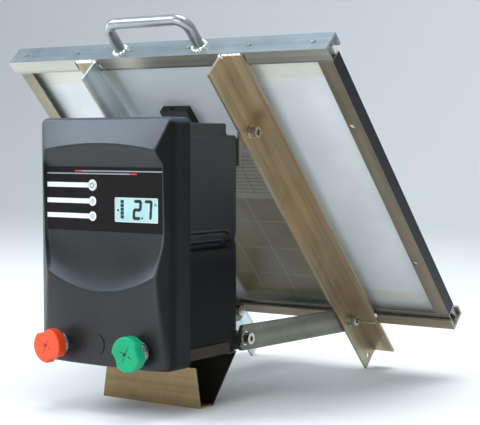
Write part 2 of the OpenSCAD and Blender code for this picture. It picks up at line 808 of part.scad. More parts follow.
pivot_ear_r = 14;
pivot_ear_out = rail_in - face_gap;
pivot_ear_in = pivot_ear_out - metal_t;
module pivot_brackets() {
    color([0.68, 0.66, 0.62]) both_sides() difference() {
        union() {
            box([bracket_screw_x - 10, housing_back, shoulder_z - 34],
                [pivot_ear_out, housing_back + metal_t, shoulder_z - 3]);
            box([pivot_ear_in, housing_back, pivot_z - pivot_ear_r],
                [pivot_ear_out, pivot_y, pivot_z + pivot_ear_r]);
            rod_x(pivot_ear_r, pivot_y, pivot_z, pivot_ear_in, pivot_ear_out);
        }
        rod_x(bolt_d / 2, pivot_y, pivot_z, pivot_ear_in - 1, pivot_ear_out + 1);
        for (z = bracket_screw_z)
            rod_y(bracket_screw_d / 2, bracket_screw_x, z, housing_back - 1, housing_back + metal_t + 1);
    }
}

module pivot_bracket_screws() {
    color([0.75, 0.75, 0.77]) both_sides() for (z = bracket_screw_z) {
        rod_y(bracket_screw_d / 2, bracket_screw_x, z, housing_back - 9, housing_back + metal_t);
        rod_y(bracket_screw_d * 0.9, bracket_screw_x, z, housing_back + metal_t, housing_back + metal_t + 3);
    }
}

module pivot_bolts() {
    color([0.82, 0.82, 0.84]) both_sides()
        socket_bolt(pivot_y, pivot_z, rail_out + 0.1, pivot_ear_in - nut_t - 1);
}

module pivot_nuts() {
    color([0.8, 0.8, 0.82]) both_sides() inner_nut(pivot_y, pivot_z, pivot_ear_in);
}

rivet_d = 4;
rivet_x = ear_in - 10;
rivet_y = [stay_y - 3, stay_y + 7];
module stay_brackets() {
    color([0.68, 0.66, 0.62]) both_sides() difference() {
        union() {
            box([ear_in - 18, stay_y - 7, tray_top], [ear_out, stay_y + 11, tray_top + metal_t]);
            box([ear_in, stay_y - 7, tray_top], [ear_out, stay_y + 11, stay_z]);
            box([ear_in, stay_y - 7, stay_z - 1], [ear_out, stay_y + 9, stay_z]);
            rod_x(7, stay_y, stay_z, ear_in, ear_out);
            box([ear_in, stay_y - 7, stay_z - eps], [ear_out, stay_y + 7, stay_z + 2]);
        }
        rod_x(bolt_d / 2, stay_y, stay_z, ear_in - 1, ear_out + 1);
        for (y = rivet_y) rod_z(rivet_d / 2, rivet_x, y, tray_top - 1, tray_top + metal_t + 1);
    }
}

module stay_bracket_rivets() {
    color([0.75, 0.75, 0.77]) both_sides() for (y = rivet_y) {
        rod_z(rivet_d / 2, rivet_x, y, tray_bottom, tray_top + metal_t);
        rod_z(rivet_d * 0.9, rivet_x, y, tray_top + metal_t, tray_top + metal_t + 1.4);
    }
}

module stay_front_bolts() {
    color([0.82, 0.82, 0.84]) both_sides()
        socket_bolt(stay_y, stay_z, stay_out + 0.1, ear_in - nut_t - 1);
}

module stay_front_nuts() {
    color([0.8, 0.8, 0.82]) both_sides() inner_nut(stay_y, stay_z, ear_in);
}

// ---------- stays ----------

// Flat bar from the front pivot to the rail, on the +X side
module stay() {
    half = stay_w / 2;
    translate([0, stay_y, stay_z]) rotate([stay_angle, 0, 0]) difference() {
        prism_x([
            [-stay_nose, -half + 5.5], [-stay_nose + 4, -half],
            for (a = [-90:15:90]) [stay_len + half * cos(a), half * sin(a)],
            [-stay_nose + 5, half], [-stay_nose, 2]
        ], stay_in, stay_out);
        rod_x(bolt_hole_r, 0, 0, stay_in - 1, stay_out + 1);
        rod_x(bolt_d / 2, stay_len, 0, stay_in - 1, stay_out + 1);
    }
}

// Nut on the inner face of the stay with the end of the bolt that it holds
module stay_nut() {
    rod_x(bolt_d / 2, stay_end_y, stay_end_z, stay_in - nut_t - 1, stay_out);
    inner_nut(stay_end_y, stay_end_z, stay_in);
}

module right_stay() { color([0.66, 0.65, 0.6]) stay(); }
module left_stay() { color([0.66, 0.65, 0.6]) mirror([1, 0, 0]) stay(); }
module right_stay_nut() { color([0.8, 0.8, 0.82]) stay_nut(); }
module left_stay_nut() { color([0.8, 0.8, 0.82]) mirror([1, 0, 0]) stay_nut(); }

// ---------- rails and channels ----------

// Angle rail on the +X side, drilled for its pivot and its three stay holes
module rail() {
    in_panel() difference() {
        union() {
            plate(rail_in, rail_out, rail_u0, rail_u1, rail_w0, rail_w1);
            plate(rail_in, rail_in + rail_flange, rail_u0, rail_u1, rail_w0, rail_w0 + metal_t);
        }
        translate([0, pivot_u, -pivot_w]) rod_x(bolt_hole_r, 0, 0, rail_in - 1, rail_out + 1);
        for (u = [stay_hole_u, spare_low_u, spare_high_u])
            translate([0, u, -pivot_w]) rod_x(bolt_d / 2, 0, 0, rail_in - 1, rail_out + 1);
    }
}

module right_rail() { color([0.64, 0.6, 0.52]) rail(); }
module left_rail() { color([0.64, 0.6, 0.52]) mirror([1, 0, 0]) rail(); }

// Notch that lets a rail through a channel's back lip
module rail_notch(u0, u1, gap) {
    both_sides() plate(rail_in - gap, rail_in + rail_flange + gap, u0, u1, rail_w0 - 0.3, channel_depth + 1);
}

module top_channel() {
    color([0.72, 0.75, 0.78]) in_panel() difference() {
        plate(-channel_hw, channel_hw, 0, channel_lip, 0, channel_depth);
        plate(-channel_hw - 1, channel_hw + 1, metal_t, channel_lip + 1, metal_t, channel_depth - metal_t);
        rail_notch(metal_t, channel_lip + 1, notch_gap);
    }
}

module bottom_channel() {
    u1 = bottom_web_u + metal_t;
    color([0.72, 0.75, 0.78]) in_panel() difference() {
        plate(-channel_hw, channel_hw, u1 - channel_lip, u1, 0, channel_depth);
        plate(-channel_hw - 1, channel_hw + 1, u1 - channel_lip - 1, bottom_web_u,
              metal_t, channel_depth - metal_t);
        rail_notch(u1 - channel_lip - 1, bottom_web_u, notch_gap);
        rail_notch(bottom_web_u - 1, u1 + 1, 0.1);
    }
}

channel_rivet_x = [40, 120, 200];
module channel_rivets() {
    mid = (frame_w0 + frame_w1) / 2;
    color([0.75, 0.76, 0.78]) in_panel() both_sides() for (x = channel_rivet_x) {
        translate([x, 0, -mid]) rotate([90, 0, 0]) cylinder(r = 3, h = 1);
        translate([x, bottom_web_u + metal_t, -mid]) rotate([-90, 0, 0]) cylinder(r = 3, h = 1);
    }
}

handle_w = 13;
handle_bend_r = 15;
module carry_handle() {
    leg_x = handle_span / 2;
    bar_r = handle_bar_d / 2;
    bar_u = -(handle_rise - bar_r);
    color([0.74, 0.76, 0.78]) in_panel() translate([0, 0, -handle_w]) {
        rod_x(bar_r, bar_u, 0, -leg_x + handle_bend_r, leg_x - handle_bend_r);
        both_sides() {
            rod_y(bar_r, leg_x, 0, bar_u + handle_bend_r, 0);
            translate([leg_x - handle_bend_r, bar_u + handle_bend_r, 0]) rotate([0, 0, -90])
                rotate_extrude(angle = 90) translate([handle_bend_r, 0]) circle(bar_r);
        }
    }
}

bead_r = 1.8;
module weld_beads() {
    leg_x = handle_span / 2;
    color([0.8, 0.8, 0.82]) in_panel() {
        for (s = [-1, 1]) translate([s * leg_x, 0, -handle_w]) rotate([90, 0, 0])
            rotate_extrude() difference() {
                translate([handle_bar_d / 2, 0]) circle(bead_r);
                translate([-1, -5]) square([handle_bar_d / 2 + 1, 10]);
                translate([-1, -5]) square([20, 5]);
            }
        both_sides() {
            bead(rail_out + bead_r, rail_in + rail_flange - 2, metal_t, channel_depth);
            bead(rail_out + bead_r, rail_in + rail_flange - 2, bottom_web_u + metal_t, channel_depth);
        }
    }
}

// Half-round bead along X, lying on the face at w
module bead(x0, x1, u, w) {
    difference() {
        translate([0, u, -w]) rod_x(bead_r, 0, 0, x0, x1);
        plate(x0 - 1, x1 + 1, u - 5, u + 5, w - 5, w);
    }
}

// ---------- panel ----------

// Straight member along X in section: outer wall, back flange and glass lip; u grows inwards
module frame_member_x() {
    plate(-frame_hw, frame_hw, 0, frame_wall, frame_w0, frame_w1);
    plate(-frame_hw, frame_hw, frame_wall - eps, frame_flange_w, frame_w1 - frame_wall, frame_w1);
    plate(-frame_hw, frame_hw, frame_wall - eps, 6, backsheet_w1, backsheet_w1 + frame_wall);
}

module frame_top() {
    color([0.62, 0.6, 0.54]) in_panel() translate([0, frame_u0, 0]) frame_member_x();
}

module frame_bottom() {
    color([0.62, 0.6, 0.54]) in_panel() translate([0, frame_u1, 0]) mirror([0, 1, 0]) frame_member_x();
}

// Side member on the +X side, between the top and bottom members
module frame_member_u() {
    u0 = frame_u0 + frame_flange_w;
    u1 = frame_u1 - frame_flange_w;
    in_panel() difference() {
        union() {
            plate(frame_hw - frame_wall, frame_hw, u0, u1, frame_w0, frame_w1);
            plate(frame_hw - frame_flange_w, frame_hw, u0, u1, frame_w1 - frame_wall, frame_w1);
            plate(frame_hw - 6, frame_hw, u0, u1, backsheet_w1, backsheet_w1 + frame_wall);
        }
        for (f = [0.25, 0.75]) translate([frame_hw - 13, frame_u0 + panel_len * f, -frame_w1 - 1])
            cylinder(r = 3, h = frame_wall + 2);
    }
}

module frame_right() { color([0.62, 0.6, 0.54]) frame_member_u(); }
module frame_left() { color([0.62, 0.6, 0.54]) mirror([1, 0, 0]) frame_member_u(); }

module panel_layer(w0, w1) {
    in_panel() plate(-frame_hw + frame_wall + 0.1, frame_hw - frame_wall - 0.1,
                     frame_u0 + frame_wall + 0.1, frame_u1 - frame_wall - 0.1, w0, w1);
}

module solar_glass() { color([0.3, 0.4, 0.5, 0.5]) panel_layer(glass_w0, glass_w0 + glass_t); }

module solar_cells() {
    margin = 10;
    pitch_x = (panel_w - 2 * margin) / cell_cols;
    pitch_u = (panel_len - 2 * margin) / cell_rows;
    color([0.08, 0.1, 0.2]) in_panel() for (i = [0 : cell_cols - 1], j = [0 : cell_rows - 1])
        plate(-frame_hw + margin + i * pitch_x + cell_gap / 2, -frame_hw + margin + (i + 1) * pitch_x - cell_gap / 2,
              frame_u0 + margin + j * pitch_u + cell_gap / 2, frame_u0 + margin + (j + 1) * pitch_u - cell_gap / 2,
              glass_w0 + glass_t, glass_w0 + glass_t + cells_t);
}

module backsheet() {
    color([0.86, 0.88, 0.9]) panel_layer(backsheet_w1 - backsheet_t, backsheet_w1);
}

box_x0 = -43.5;
box_x1 = -5;
box_u0 = 88;
box_u1 = 143;
box_h = 10;
module junction_box() {
    color([0.08, 0.08, 0.09]) in_panel() difference() {
        plate(box_x0, box_x1, box_u0, box_u1, backsheet_w1, backsheet_w1 + box_h);
        plate(box_x0 + 2, box_x1 - 2, box_u0 + 2, box_u1 - 2, backsheet_w1 + 1.5, backsheet_w1 + box_h - 2);
        plate(box_x0 + 14, box_x0 + 20, box_u0 - 1, box_u0 + 3, backsheet_w1 + 4, backsheet_w1 + 7);
    }
}

// Bolts through the rails at the stays, each ending flush with its rail's inner face
module stay_rail_bolts() {
    color([0.82, 0.82, 0.84]) both_sides() socket_bolt(stay_end_y, stay_end_z, rail_out, rail_in);
}

front_cover();
rear_housing();
cover_gasket();
cover_screws();
fascia_overlay();
display_window();
display_module();
indicator_lenses();
status_leds();
power_button();
power_switch();
control_board();
control_board_screws();
output_board();
storage_capacitors();
transformer_core();
transformer_winding();
battery();
battery_pad();
terminal_studs();
terminal_washers();
terminal_nuts();
red_knob();
red_knob_insert();
green_knob();
green_knob_insert();
blanking_plug();
panel_socket();
tray();
tray_screws();
foot_bracket();
foot_screws();
pivot_brackets();
pivot_bracket_screws();
pivot_bolts();
pivot_nuts();
stay_brackets();
stay_bracket_rivets();
stay_front_bolts();
stay_front_nuts();
left_stay();
right_stay();
left_stay_nut();
right_stay_nut();
left_rail();
right_rail();
top_channel();
bottom_channel();
channel_rivets();
carry_handle();
weld_beads();
frame_top();
frame_bottom();
frame_left();
frame_right();
solar_glass();
solar_cells();
backsheet();
junction_box();
stay_rail_bolts();
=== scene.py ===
import math

import bmesh
import bpy
from mathutils import Matrix, Vector


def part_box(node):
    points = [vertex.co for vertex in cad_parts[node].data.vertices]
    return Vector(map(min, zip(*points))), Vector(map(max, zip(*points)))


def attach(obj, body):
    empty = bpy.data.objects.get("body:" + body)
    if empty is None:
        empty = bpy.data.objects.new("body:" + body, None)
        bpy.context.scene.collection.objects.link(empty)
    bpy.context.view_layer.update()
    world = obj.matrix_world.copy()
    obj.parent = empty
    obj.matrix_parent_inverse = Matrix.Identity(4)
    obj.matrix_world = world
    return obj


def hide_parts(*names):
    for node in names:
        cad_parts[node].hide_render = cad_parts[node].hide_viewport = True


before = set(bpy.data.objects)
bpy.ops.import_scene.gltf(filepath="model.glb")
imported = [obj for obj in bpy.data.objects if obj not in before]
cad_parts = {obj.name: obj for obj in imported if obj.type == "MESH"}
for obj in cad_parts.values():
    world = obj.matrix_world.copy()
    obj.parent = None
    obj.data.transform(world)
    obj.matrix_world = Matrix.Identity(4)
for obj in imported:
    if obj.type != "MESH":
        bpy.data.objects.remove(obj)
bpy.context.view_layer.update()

MM = 0.001
CELL_PITCH = 49


# ---------- places, all taken from the frame ----------

def span(node):
    """Lowest and highest corner of a node, in millimetres."""
    low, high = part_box(node)
    return low / MM, high / MM


COVER_LO, COVER_HI = span("front_cover")
HOUSING_LO, HOUSING_HI = span("rear_housing")
OVERLAY_LO, OVERLAY_HI = span("fascia_overlay")
WINDOW_LO, WINDOW_HI = span("display_window")
LENS_LO, LENS_HI = span("indicator_lenses")
BUTTON_LO, BUTTON_HI = span("power_button")
PLUG_LO, _ = span("blanking_plug")
STUD_LO, STUD_HI = span("terminal_studs")
RED_LO, RED_HI = span("red_knob")
GREEN_LO, GREEN_HI = span("green_knob")

COVER_HW = COVER_HI.x
RIM_Y = COVER_HI.y
FASCIA_Y = OVERLAY_HI.y
BROW_Y = COVER_LO.y
APRON_Y = PLUG_LO.y + 1
BOTTOM = COVER_LO.z
TOP = COVER_HI.z


def panel_axes():
    """The panel's down-slope and backward directions, and its zero corner in millimetres."""
    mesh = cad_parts["backsheet"].data
    face = max(mesh.polygons, key=lambda p: p.area)
    back = Vector((0, -abs(face.normal.y), -abs(face.normal.z))).normalized()
    down = Vector((0, -back.z, back.y)).normalized()
    corners = [v.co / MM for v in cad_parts["top_channel"].data.vertices]
    u0 = min(c.dot(down) for c in corners)
    w0 = min(c.dot(back) for c in corners)
    return down, back, down * u0 + back * w0


DOWN, BACK, PANEL_O = panel_axes()
TILT = math.atan2(-DOWN.z, DOWN.y)


def panel_point(x, u, w):
    """A point in the panel's leaning plane: x across, u down the slope, w backwards. In metres."""
    return (Vector((x, 0, 0)) + PANEL_O + DOWN * u + BACK * w) * MM


def panel_span(node):
    """Ranges of u and w that a node takes up, in millimetres."""
    corners = [v.co / MM - PANEL_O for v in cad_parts[node].data.vertices]
    us = [c.dot(DOWN) for c in corners]
    ws = [c.dot(BACK) for c in corners]
    return (min(us), max(us)), (min(ws), max(ws))


# ---------- material helpers ----------

def new_material(name, colour, roughness, metallic=0.0, **sockets):
    """A material with its constant values on the shader's own sockets."""
    material = bpy.data.materials.new(name)
    material.use_nodes = True
    shader = material.node_tree.nodes["Principled BSDF"]
    shader.inputs["Base Color"].default_value = (*colour, 1)
    shader.inputs["Roughness"].default_value = roughness
    shader.inputs["Metallic"].default_value = metallic
    for key, value in sockets.items():
        shader.inputs[key.replace("_", " ")].default_value = value
    return material


def node(material, kind, **values):
    """A shader node with its properties and input values set."""
    made = material.node_tree.nodes.new(kind)
    for key, value in values.items():
        if key in made.inputs:
            made.inputs[key].default_value = value
        else:
            setattr(made, key, value)
    return made


def link(material, out, to):
    material.node_tree.links.new(out, to)


def shader_of(material):
    return material.node_tree.nodes["Principled BSDF"]


def set_surface(material, base, rough, normal):
    """Links a base colour, a roughness from (factor, low, high) and a normal to the shader."""
    shader = shader_of(material)
    link(material, base, shader.inputs["Base Color"])
    link(material, to_range(material, *rough), shader.inputs["Roughness"])
    link(material, normal, shader.inputs["Normal"])


def dark_and_light(colour, low, high):
    """A colour made darker and lighter by two factors."""
    return [tuple(min(1, c * factor) for c in colour) for factor in (low, high)]


def coordinates(material, stretch=(1, 1, 1), turn=(0, 0, 0)):
    """Object coordinates in metres, turned and then stretched."""
    place = node(material, "ShaderNodeTexCoord")
    mapping = node(material, "ShaderNodeMapping", vector_type="POINT")
    mapping.inputs["Rotation"].default_value = turn
    link(material, place.outputs["Object"], mapping.inputs["Vector"])
    scaled = node(material, "ShaderNodeVectorMath", operation="MULTIPLY")
    scaled.inputs[1].default_value = stretch
    link(material, mapping.outputs["Vector"], scaled.inputs[0])
    return scaled.outputs[0]


def noise(material, vector, scale, detail=3.0, rough=0.55):
    made = node(material, "ShaderNodeTexNoise", Scale=scale, Detail=detail, Roughness=rough)
    link(material, vector, made.inputs["Vector"])
    return made.outputs["Fac"]


def ramp(material, factor, stops):
    """A colour ramp from (place, grey or colour) stops."""
    made = node(material, "ShaderNodeValToRGB")
    elements = made.color_ramp.elements
    while len(elements) < len(stops):
        elements.new(0.5)
    for element, (place, tone) in zip(elements, stops):
        element.position = place
        element.color = (*tone, 1) if isinstance(tone, tuple) else (tone, tone, tone, 1)
    link(material, factor, made.inputs["Fac"])
    return made.outputs["Color"]


def to_range(material, factor, low, high):
    made = node(material, "ShaderNodeMapRange")
    made.inputs["To Min"].default_value = low
    made.inputs["To Max"].default_value = high
    link(material, factor, made.inputs["Value"])
    return made.outputs["Result"]


def mix_colour(material, factor, first, second, blend="MIX"):
    made = node(material, "ShaderNodeMix", data_type="RGBA", blend_type=blend)
    inputs = {"a": made.inputs[6], "b": made.inputs[7], "f": made.inputs[0]}
    for key, value in (("f", factor), ("a", first), ("b", second)):
        if isinstance(value, (tuple, float, int)):
            inputs[key].default_value = (*value, 1) if isinstance(value, tuple) else value
        else:
            link(material, value, inputs[key])
    return made.outputs[2]


def add_bump(material, height, distance, strength=1.0, before=None):
    made = node(material, "ShaderNodeBump", Distance=distance, Strength=strength)
    link(material, height, made.inputs["Height"])
    if before is not None:
        link(material, before, made.inputs["Normal"])
    return made.outputs["Normal"]


def edge_wear_and_highlight(material, width_mm):
    """One on sharp edges, nought on flats."""
    bevel = node(material, "ShaderNodeBevel", samples=4, Radius=width_mm * MM)
    flat = node(material, "ShaderNodeNewGeometry")
    dot = node(material, "ShaderNodeVectorMath", operation="DOT_PRODUCT")
    link(material, bevel.outputs["Normal"], dot.inputs[0])
    link(material, flat.outputs["Normal"], dot.inputs[1])
    made = node(material, "ShaderNodeMapRange")
    made.inputs["From Min"].default_value = 0.99
    made.inputs["From Max"].default_value = 0.90
    link(material, dot.outputs["Value"], made.inputs["Value"])
    return made.outputs["Result"]


# ---------- materials ----------

def moulded_plastic(name, colour, roughness, grain_mm, grain_depth_mm, mottle=0.25, shine=0.5, low_shade_heights=None,
                    sky_reflection_tone=None):
    """Moulded plastic: fine spark grain, faint mottling, and lighter edges that are partly worn and partly a painted
    highlight.

    low_shade_heights is a pair of heights between which the tone and the reflection rise from a painted shade to
    full, and upward is a painted sky reflection on faces that look up, which also gives faces that look sideways less
    reflection, a painted shade."""
    material = new_material(name, colour, roughness, Specular_IOR_Level=shine)
    shader = shader_of(material)
    plain = coordinates(material)
    cloudy = noise(material, plain, 28, 4)
    dark, light = dark_and_light(colour, 1 - mottle, 1 + mottle)
    base = ramp(material, cloudy, [(0.3, dark), (0.7, light)])
    # Painted shade: below these heights the tone and the reflection fall off.
    if low_shade_heights is not None:
        parts = node(material, "ShaderNodeSeparateXYZ")
        link(material, plain, parts.inputs[0])
        rise = node(material, "ShaderNodeMapRange")
        rise.inputs["From Min"].default_value = low_shade_heights[0]
        rise.inputs["From Max"].default_value = low_shade_heights[1]
        link(material, parts.outputs["Z"], rise.inputs["Value"])
        base = mix_colour(material, rise.outputs["Result"], tuple(c * 0.2 for c in colour), base)
        link(material, to_range(material, rise.outputs["Result"], 0.06, shine), shader.inputs["Specular IOR Level"])
    # Painted sky reflection on faces that look up; faces that look sideways get less reflection, a painted shade.
    if sky_reflection_tone is not None:
        base = mix_colour(material, facing(material, "Z", 0.2, 0.5), base, sky_reflection_tone)
        link(material, to_range(material, facing(material, "X", 0.2, 0.6), shine, 0.12),
             shader.inputs["Specular IOR Level"])
    # Lighter edges: partly worn plastic, partly a painted highlight.
    wear_and_highlight = tuple(min(1, c * 1.6 + 0.008) for c in colour)
    base = mix_colour(material, edge_wear_and_highlight(material, 0.8), base, wear_and_highlight)
    grain = noise(material, plain, 1000 / grain_mm, 2)
    set_surface(material, base, (cloudy, roughness - 0.07, roughness + 0.07),
                add_bump(material, grain, grain_depth_mm * MM, 0.6))
    return material


def facing(material, axis, start, full):
    """Nought until a face's normal reaches one value along an axis, and one from another."""
    parts = node(material, "ShaderNodeSeparateXYZ")
    link(material, node(material, "ShaderNodeNewGeometry").outputs["Normal"], parts.inputs[0])
    made = node(material, "ShaderNodeMapRange")
    made.inputs["From Min"].default_value = start
    made.inputs["From Max"].default_value = full
    link(material, parts.outputs[axis], made.inputs["Value"])
    return made.outputs["Result"]


def rolled_metal(name, light, dark, roughness, along="x", turn=0.0, streak=0.35, tint=None, under=None,
                 outer=None):
    """Rolled or brushed metal: fine streaks along one direction, soft clouds, and bright edges that are partly worn
    and partly a painted highlight.

    under is a tone of painted light and shade for faces that look down, and outer is a painted shade for the outward
    side walls."""
    material = new_material(name, light, roughness, 0.72)
    stretch = {"x": (0.03, 1, 1), "y": (1, 0.03, 1), "z": (1, 1, 0.03)}[along]
    lines = coordinates(material, stretch, (turn, 0, 0))
    plain = coordinates(material)
    fine = noise(material, lines, 900, 4, 0.6)
    broad = noise(material, lines, 120, 3, 0.6)
    clouds = noise(material, plain, 14, 4, 0.6)
    base = ramp(material, clouds, [(0.32, dark), (0.68, light)])
    streaks = ramp(material, broad, [(0.3, 1 - streak), (0.7, 1.0)])
    base = mix_colour(material, 1.0, base, streaks, "MULTIPLY")
    # Painted light and shade: faces that look down get their own tone.
    if under is not None:
        toned = mix_colour(material, 1.0, under, streaks, "MULTIPLY")
        base = mix_colour(material, facing(material, "Z", -0.2, -0.55), base, toned)
    # Painted shade on the outward side walls.
    if outer is not None:
        base = mix_colour(material, facing(material, "X", 0.5, 0.8), base, outer)
    if tint is not None:
        blotch = noise(material, plain, 9, 3)
        base = mix_colour(material, ramp(material, blotch, [(0.5, 0.0), (0.66, 0.6)]), base, tint)
    # Bright edges: partly worn metal, partly a painted highlight.
    base = mix_colour(material, edge_wear_and_highlight(material, 0.5), base, tuple(min(1, c * 1.35) for c in light))
    scratches = noise(material, lines, 1500, 2)
    normal = add_bump(material, fine, 0.02 * MM, 0.5)
    set_surface(material, base, (fine, roughness - 0.09, roughness + 0.12),
                add_bump(material, scratches, 0.012 * MM, 0.4, normal))
    return material


def plated(name, colour, roughness):
    """Bright plated fasteners with tiny scuffs."""
    material = new_material(name, colour, roughness, 1.0)
    scuff = noise(material, coordinates(material), 260, 4)
    base = ramp(material, scuff, [(0.35, tuple(c * 0.72 for c in colour)), (0.6, colour)])
    set_surface(material, base, (scuff, roughness - 0.08, roughness + 0.14),
                add_bump(material, scuff, 0.03 * MM, 0.4))
    return material


def printed(name, colour, roughness=0.4):
    """Printed ink, with a little unevenness in it."""
    material = new_material(name, colour, roughness)
    speckle = noise(material, coordinates(material), 900, 2)
    base = ramp(material, speckle, [(0.3, tuple(c * 0.88 for c in colour)), (0.7, colour)])
    set_surface(material, base, (speckle, roughness - 0.05, roughness + 0.08),
                add_bump(material, speckle, 0.01 * MM, 0.3))
    return material


def film(name, colour, roughness):
    """Glossy printed film with a faint ripple."""
    material = new_material(name, colour, roughness, Specular_IOR_Level=0.14)
    plain = coordinates(material)
    ripple = noise(material, plain, 60, 2)
    smear = noise(material, plain, 24, 4)
    dark, light = dark_and_light(colour, 0.8, 1.25)
    base = ramp(material, smear, [(0.3, dark), (0.7, light)])
    set_surface(material, base, (smear, roughness - 0.06, roughness + 0.1),
                add_bump(material, ripple, 0.05 * MM, 0.25))
    return material


def display_glass():
    """Pale reflective display, a little cloudy."""
    material = new_material("display_pale", (0.38, 0.60, 0.60), 0.35)
    plain = coordinates(material)
    cloud = noise(material, plain, 40, 2)
    base = ramp(material, cloud, [(0.3, (0.36, 0.58, 0.58)), (0.7, (0.42, 0.64, 0.63))])
    grid = noise(material, plain, 1500, 1)
    set_surface(material, base, (cloud, 0.2, 0.34), add_bump(material, grid, 0.01 * MM, 0.3))
    return material


def back_film():
    """White backsheet: cell joints show through as pale lines; between the rails a painted shadow of the case, olive
    and dark, and above it a painted pale blue light.
    """
    material = new_material("back_film", (0.78, 0.83, 0.86), 0.42, Coat_Weight=0.3, Coat_Roughness=0.3)
    place = coordinates(material, turn=(TILT, 0, 0))
    parts = node(material, "ShaderNodeSeparateXYZ")
    link(material, place, parts.inputs[0])
    plain = coordinates(material)
    clouds = noise(material, plain, 11, 4, 0.6)
    white = ramp(material, clouds, [(0.3, (0.68, 0.73, 0.75)), (0.7, (0.82, 0.87, 0.88))])
    # Painted shadow of the case: an olive, dark tone between the rails.
    shadow_tone = ramp(material, noise(material, plain, 16, 3), [(0.35, (0.16, 0.135, 0.075)), (0.7, (0.25, 0.215, 0.13))])

    def joints(axis, pitch, half_width):
        wrapped = node(material, "ShaderNodeMath", operation="PINGPONG")
        wrapped.inputs[1].default_value = pitch / 2 * MM
        link(material, parts.outputs[axis], wrapped.inputs[0])
        line = node(material, "ShaderNodeMapRange")
        line.inputs["From Min"].default_value = half_width * 1.6 * MM
        line.inputs["From Max"].default_value = half_width * 0.6 * MM
        link(material, wrapped.outputs[0], line.inputs["Value"])
        return line.outputs["Result"]

    cross = node(material, "ShaderNodeMath", operation="MAXIMUM")
    link(material, joints("X", CELL_PITCH, 0.8), cross.inputs[0])
    link(material, joints("Y", CELL_PITCH, 0.5), cross.inputs[1])
    shadow_tone = mix_colour(material, mix_value(material, cross.outputs[0], 0.45), shadow_tone, (0.42, 0.40, 0.30))

    def between(axis, low, high, soft):
        """One between two places along an axis, fading over a soft width; millimetres."""
        up = node(material, "ShaderNodeMapRange", interpolation_type="SMOOTHSTEP")
        up.inputs["From Min"].default_value = (low - soft) * MM
        up.inputs["From Max"].default_value = (low + soft) * MM
        fall = node(material, "ShaderNodeMapRange", interpolation_type="SMOOTHSTEP")
        fall.inputs["From Min"].default_value = (high + soft) * MM
        fall.inputs["From Max"].default_value = (high - soft) * MM
        both = node(material, "ShaderNodeMath", operation="MULTIPLY")
        for made, slot_in in ((up, both.inputs[0]), (fall, both.inputs[1])):
            link(material, parts.outputs[axis], made.inputs["Value"])
            link(material, made.outputs["Result"], slot_in)
        return both.outputs[0]

    # Where the painted shadow lies: between the rails, from 150 to 425 mm down the slope.
    shade = node(material, "ShaderNodeMath", operation="MULTIPLY")
    down_start = PANEL_O.dot(DOWN)
    link(material, between("X", -84, 84, 4), shade.inputs[0])
    link(material, between("Y", down_start + 150, down_start + 425, 14), shade.inputs[1])
    for low, high in ((18, 50), (398, 412)):
        band = between("Y", down_start + low, down_start + high, 1.5)
        white = mix_colour(material, mix_value(material, band, 0.8), white, (0.74, 0.70, 0.62))
    # Painted light: a pale blue on the sheet between the rails, above the painted shadow.
    upper = node(material, "ShaderNodeMath", operation="MULTIPLY")
    link(material, between("X", -84, 84, 4), upper.inputs[0])
    link(material, between("Y", down_start + 10, down_start + 150, 14), upper.inputs[1])
    white = mix_colour(material, upper.outputs[0], white, (0.84, 0.95, 1.0))
    set_surface(material, mix_colour(material, shade.outputs[0], white, shadow_tone), (clouds, 0.34, 0.5),
                add_bump(material, noise(material, plain, 70, 3), 0.12 * MM, 0.35))
    return material


def mix_value(material, factor, amount):
    made = node(material, "ShaderNodeMath", operation="MULTIPLY")
    made.inputs[1].default_value = amount
    link(material, factor, made.inputs[0])
    return made.outputs[0]


def clear_glass():
    material = new_material("clear_glass", (0.85, 0.92, 0.95), 0.06, IOR=1.5, Alpha=0.25)
    dust = noise(material, coordinates(material), 90, 4)
    tint = ramp(material, dust, [(0.3, (0.75, 0.84, 0.9)), (0.7, (0.88, 0.94, 0.97))])
    set_surface(material, tint, (dust, 0.03, 0.14), add_bump(material, dust, 0.02 * MM, 0.2))
    return material


def silicon():
    """Dark blue cells with thin silver fingers."""
    material = new_material("silicon", (0.02, 0.03, 0.10), 0.22, Coat_Weight=0.5, Coat_Roughness=0.1)
    plain = coordinates(material, turn=(TILT, 0, 0))
    crystal = node(material, "ShaderNodeTexVoronoi", Scale=90)
    link(material, plain, crystal.inputs["Vector"])
    blue = ramp(material, crystal.outputs["Distance"], [(0.2, (0.012, 0.02, 0.07)), (0.8, (0.03, 0.05, 0.16))])
    fingers = node(material, "ShaderNodeTexWave", Scale=160, bands_direction="Y")
    link(material, plain, fingers.inputs["Vector"])
    lines = ramp(material, fingers.outputs["Fac"], [(0.93, 0.0), (0.98, 0.6)])
    set_surface(material, mix_colour(material, lines, blue, (0.45, 0.47, 0.5)),
                (crystal.outputs["Distance"], 0.16, 0.3), add_bump(material, fingers.outputs["Fac"], 0.01 * MM, 0.2))
    return material


def foot_metal():
    """Rolled steel with a golden tone that is a painted reflection, whose rear plate, in the shade of the case, is
    made far darker as painted shade.
    """
    material = rolled_metal("foot_steel", (0.40, 0.29, 0.15), (0.25, 0.175, 0.085), 0.34, "x")
    shader = shader_of(material)
    before = shader.inputs["Base Color"].links[0].from_socket
    parts = node(material, "ShaderNodeSeparateXYZ")
    link(material, coordinates(material), parts.inputs[0])
    # Painted shade on the rear plate, by its place front to back.
    shade = node(material, "ShaderNodeMapRange")
    shade.inputs["From Min"].default_value = 0.004
    shade.inputs["From Max"].default_value = 0.011
    link(material, parts.outputs["Y"], shade.inputs["Value"])
    link(material, mix_colour(material, shade.outputs["Result"], before, (0.03, 0.027, 0.02)),
         shader.inputs["Base Color"])
    return material
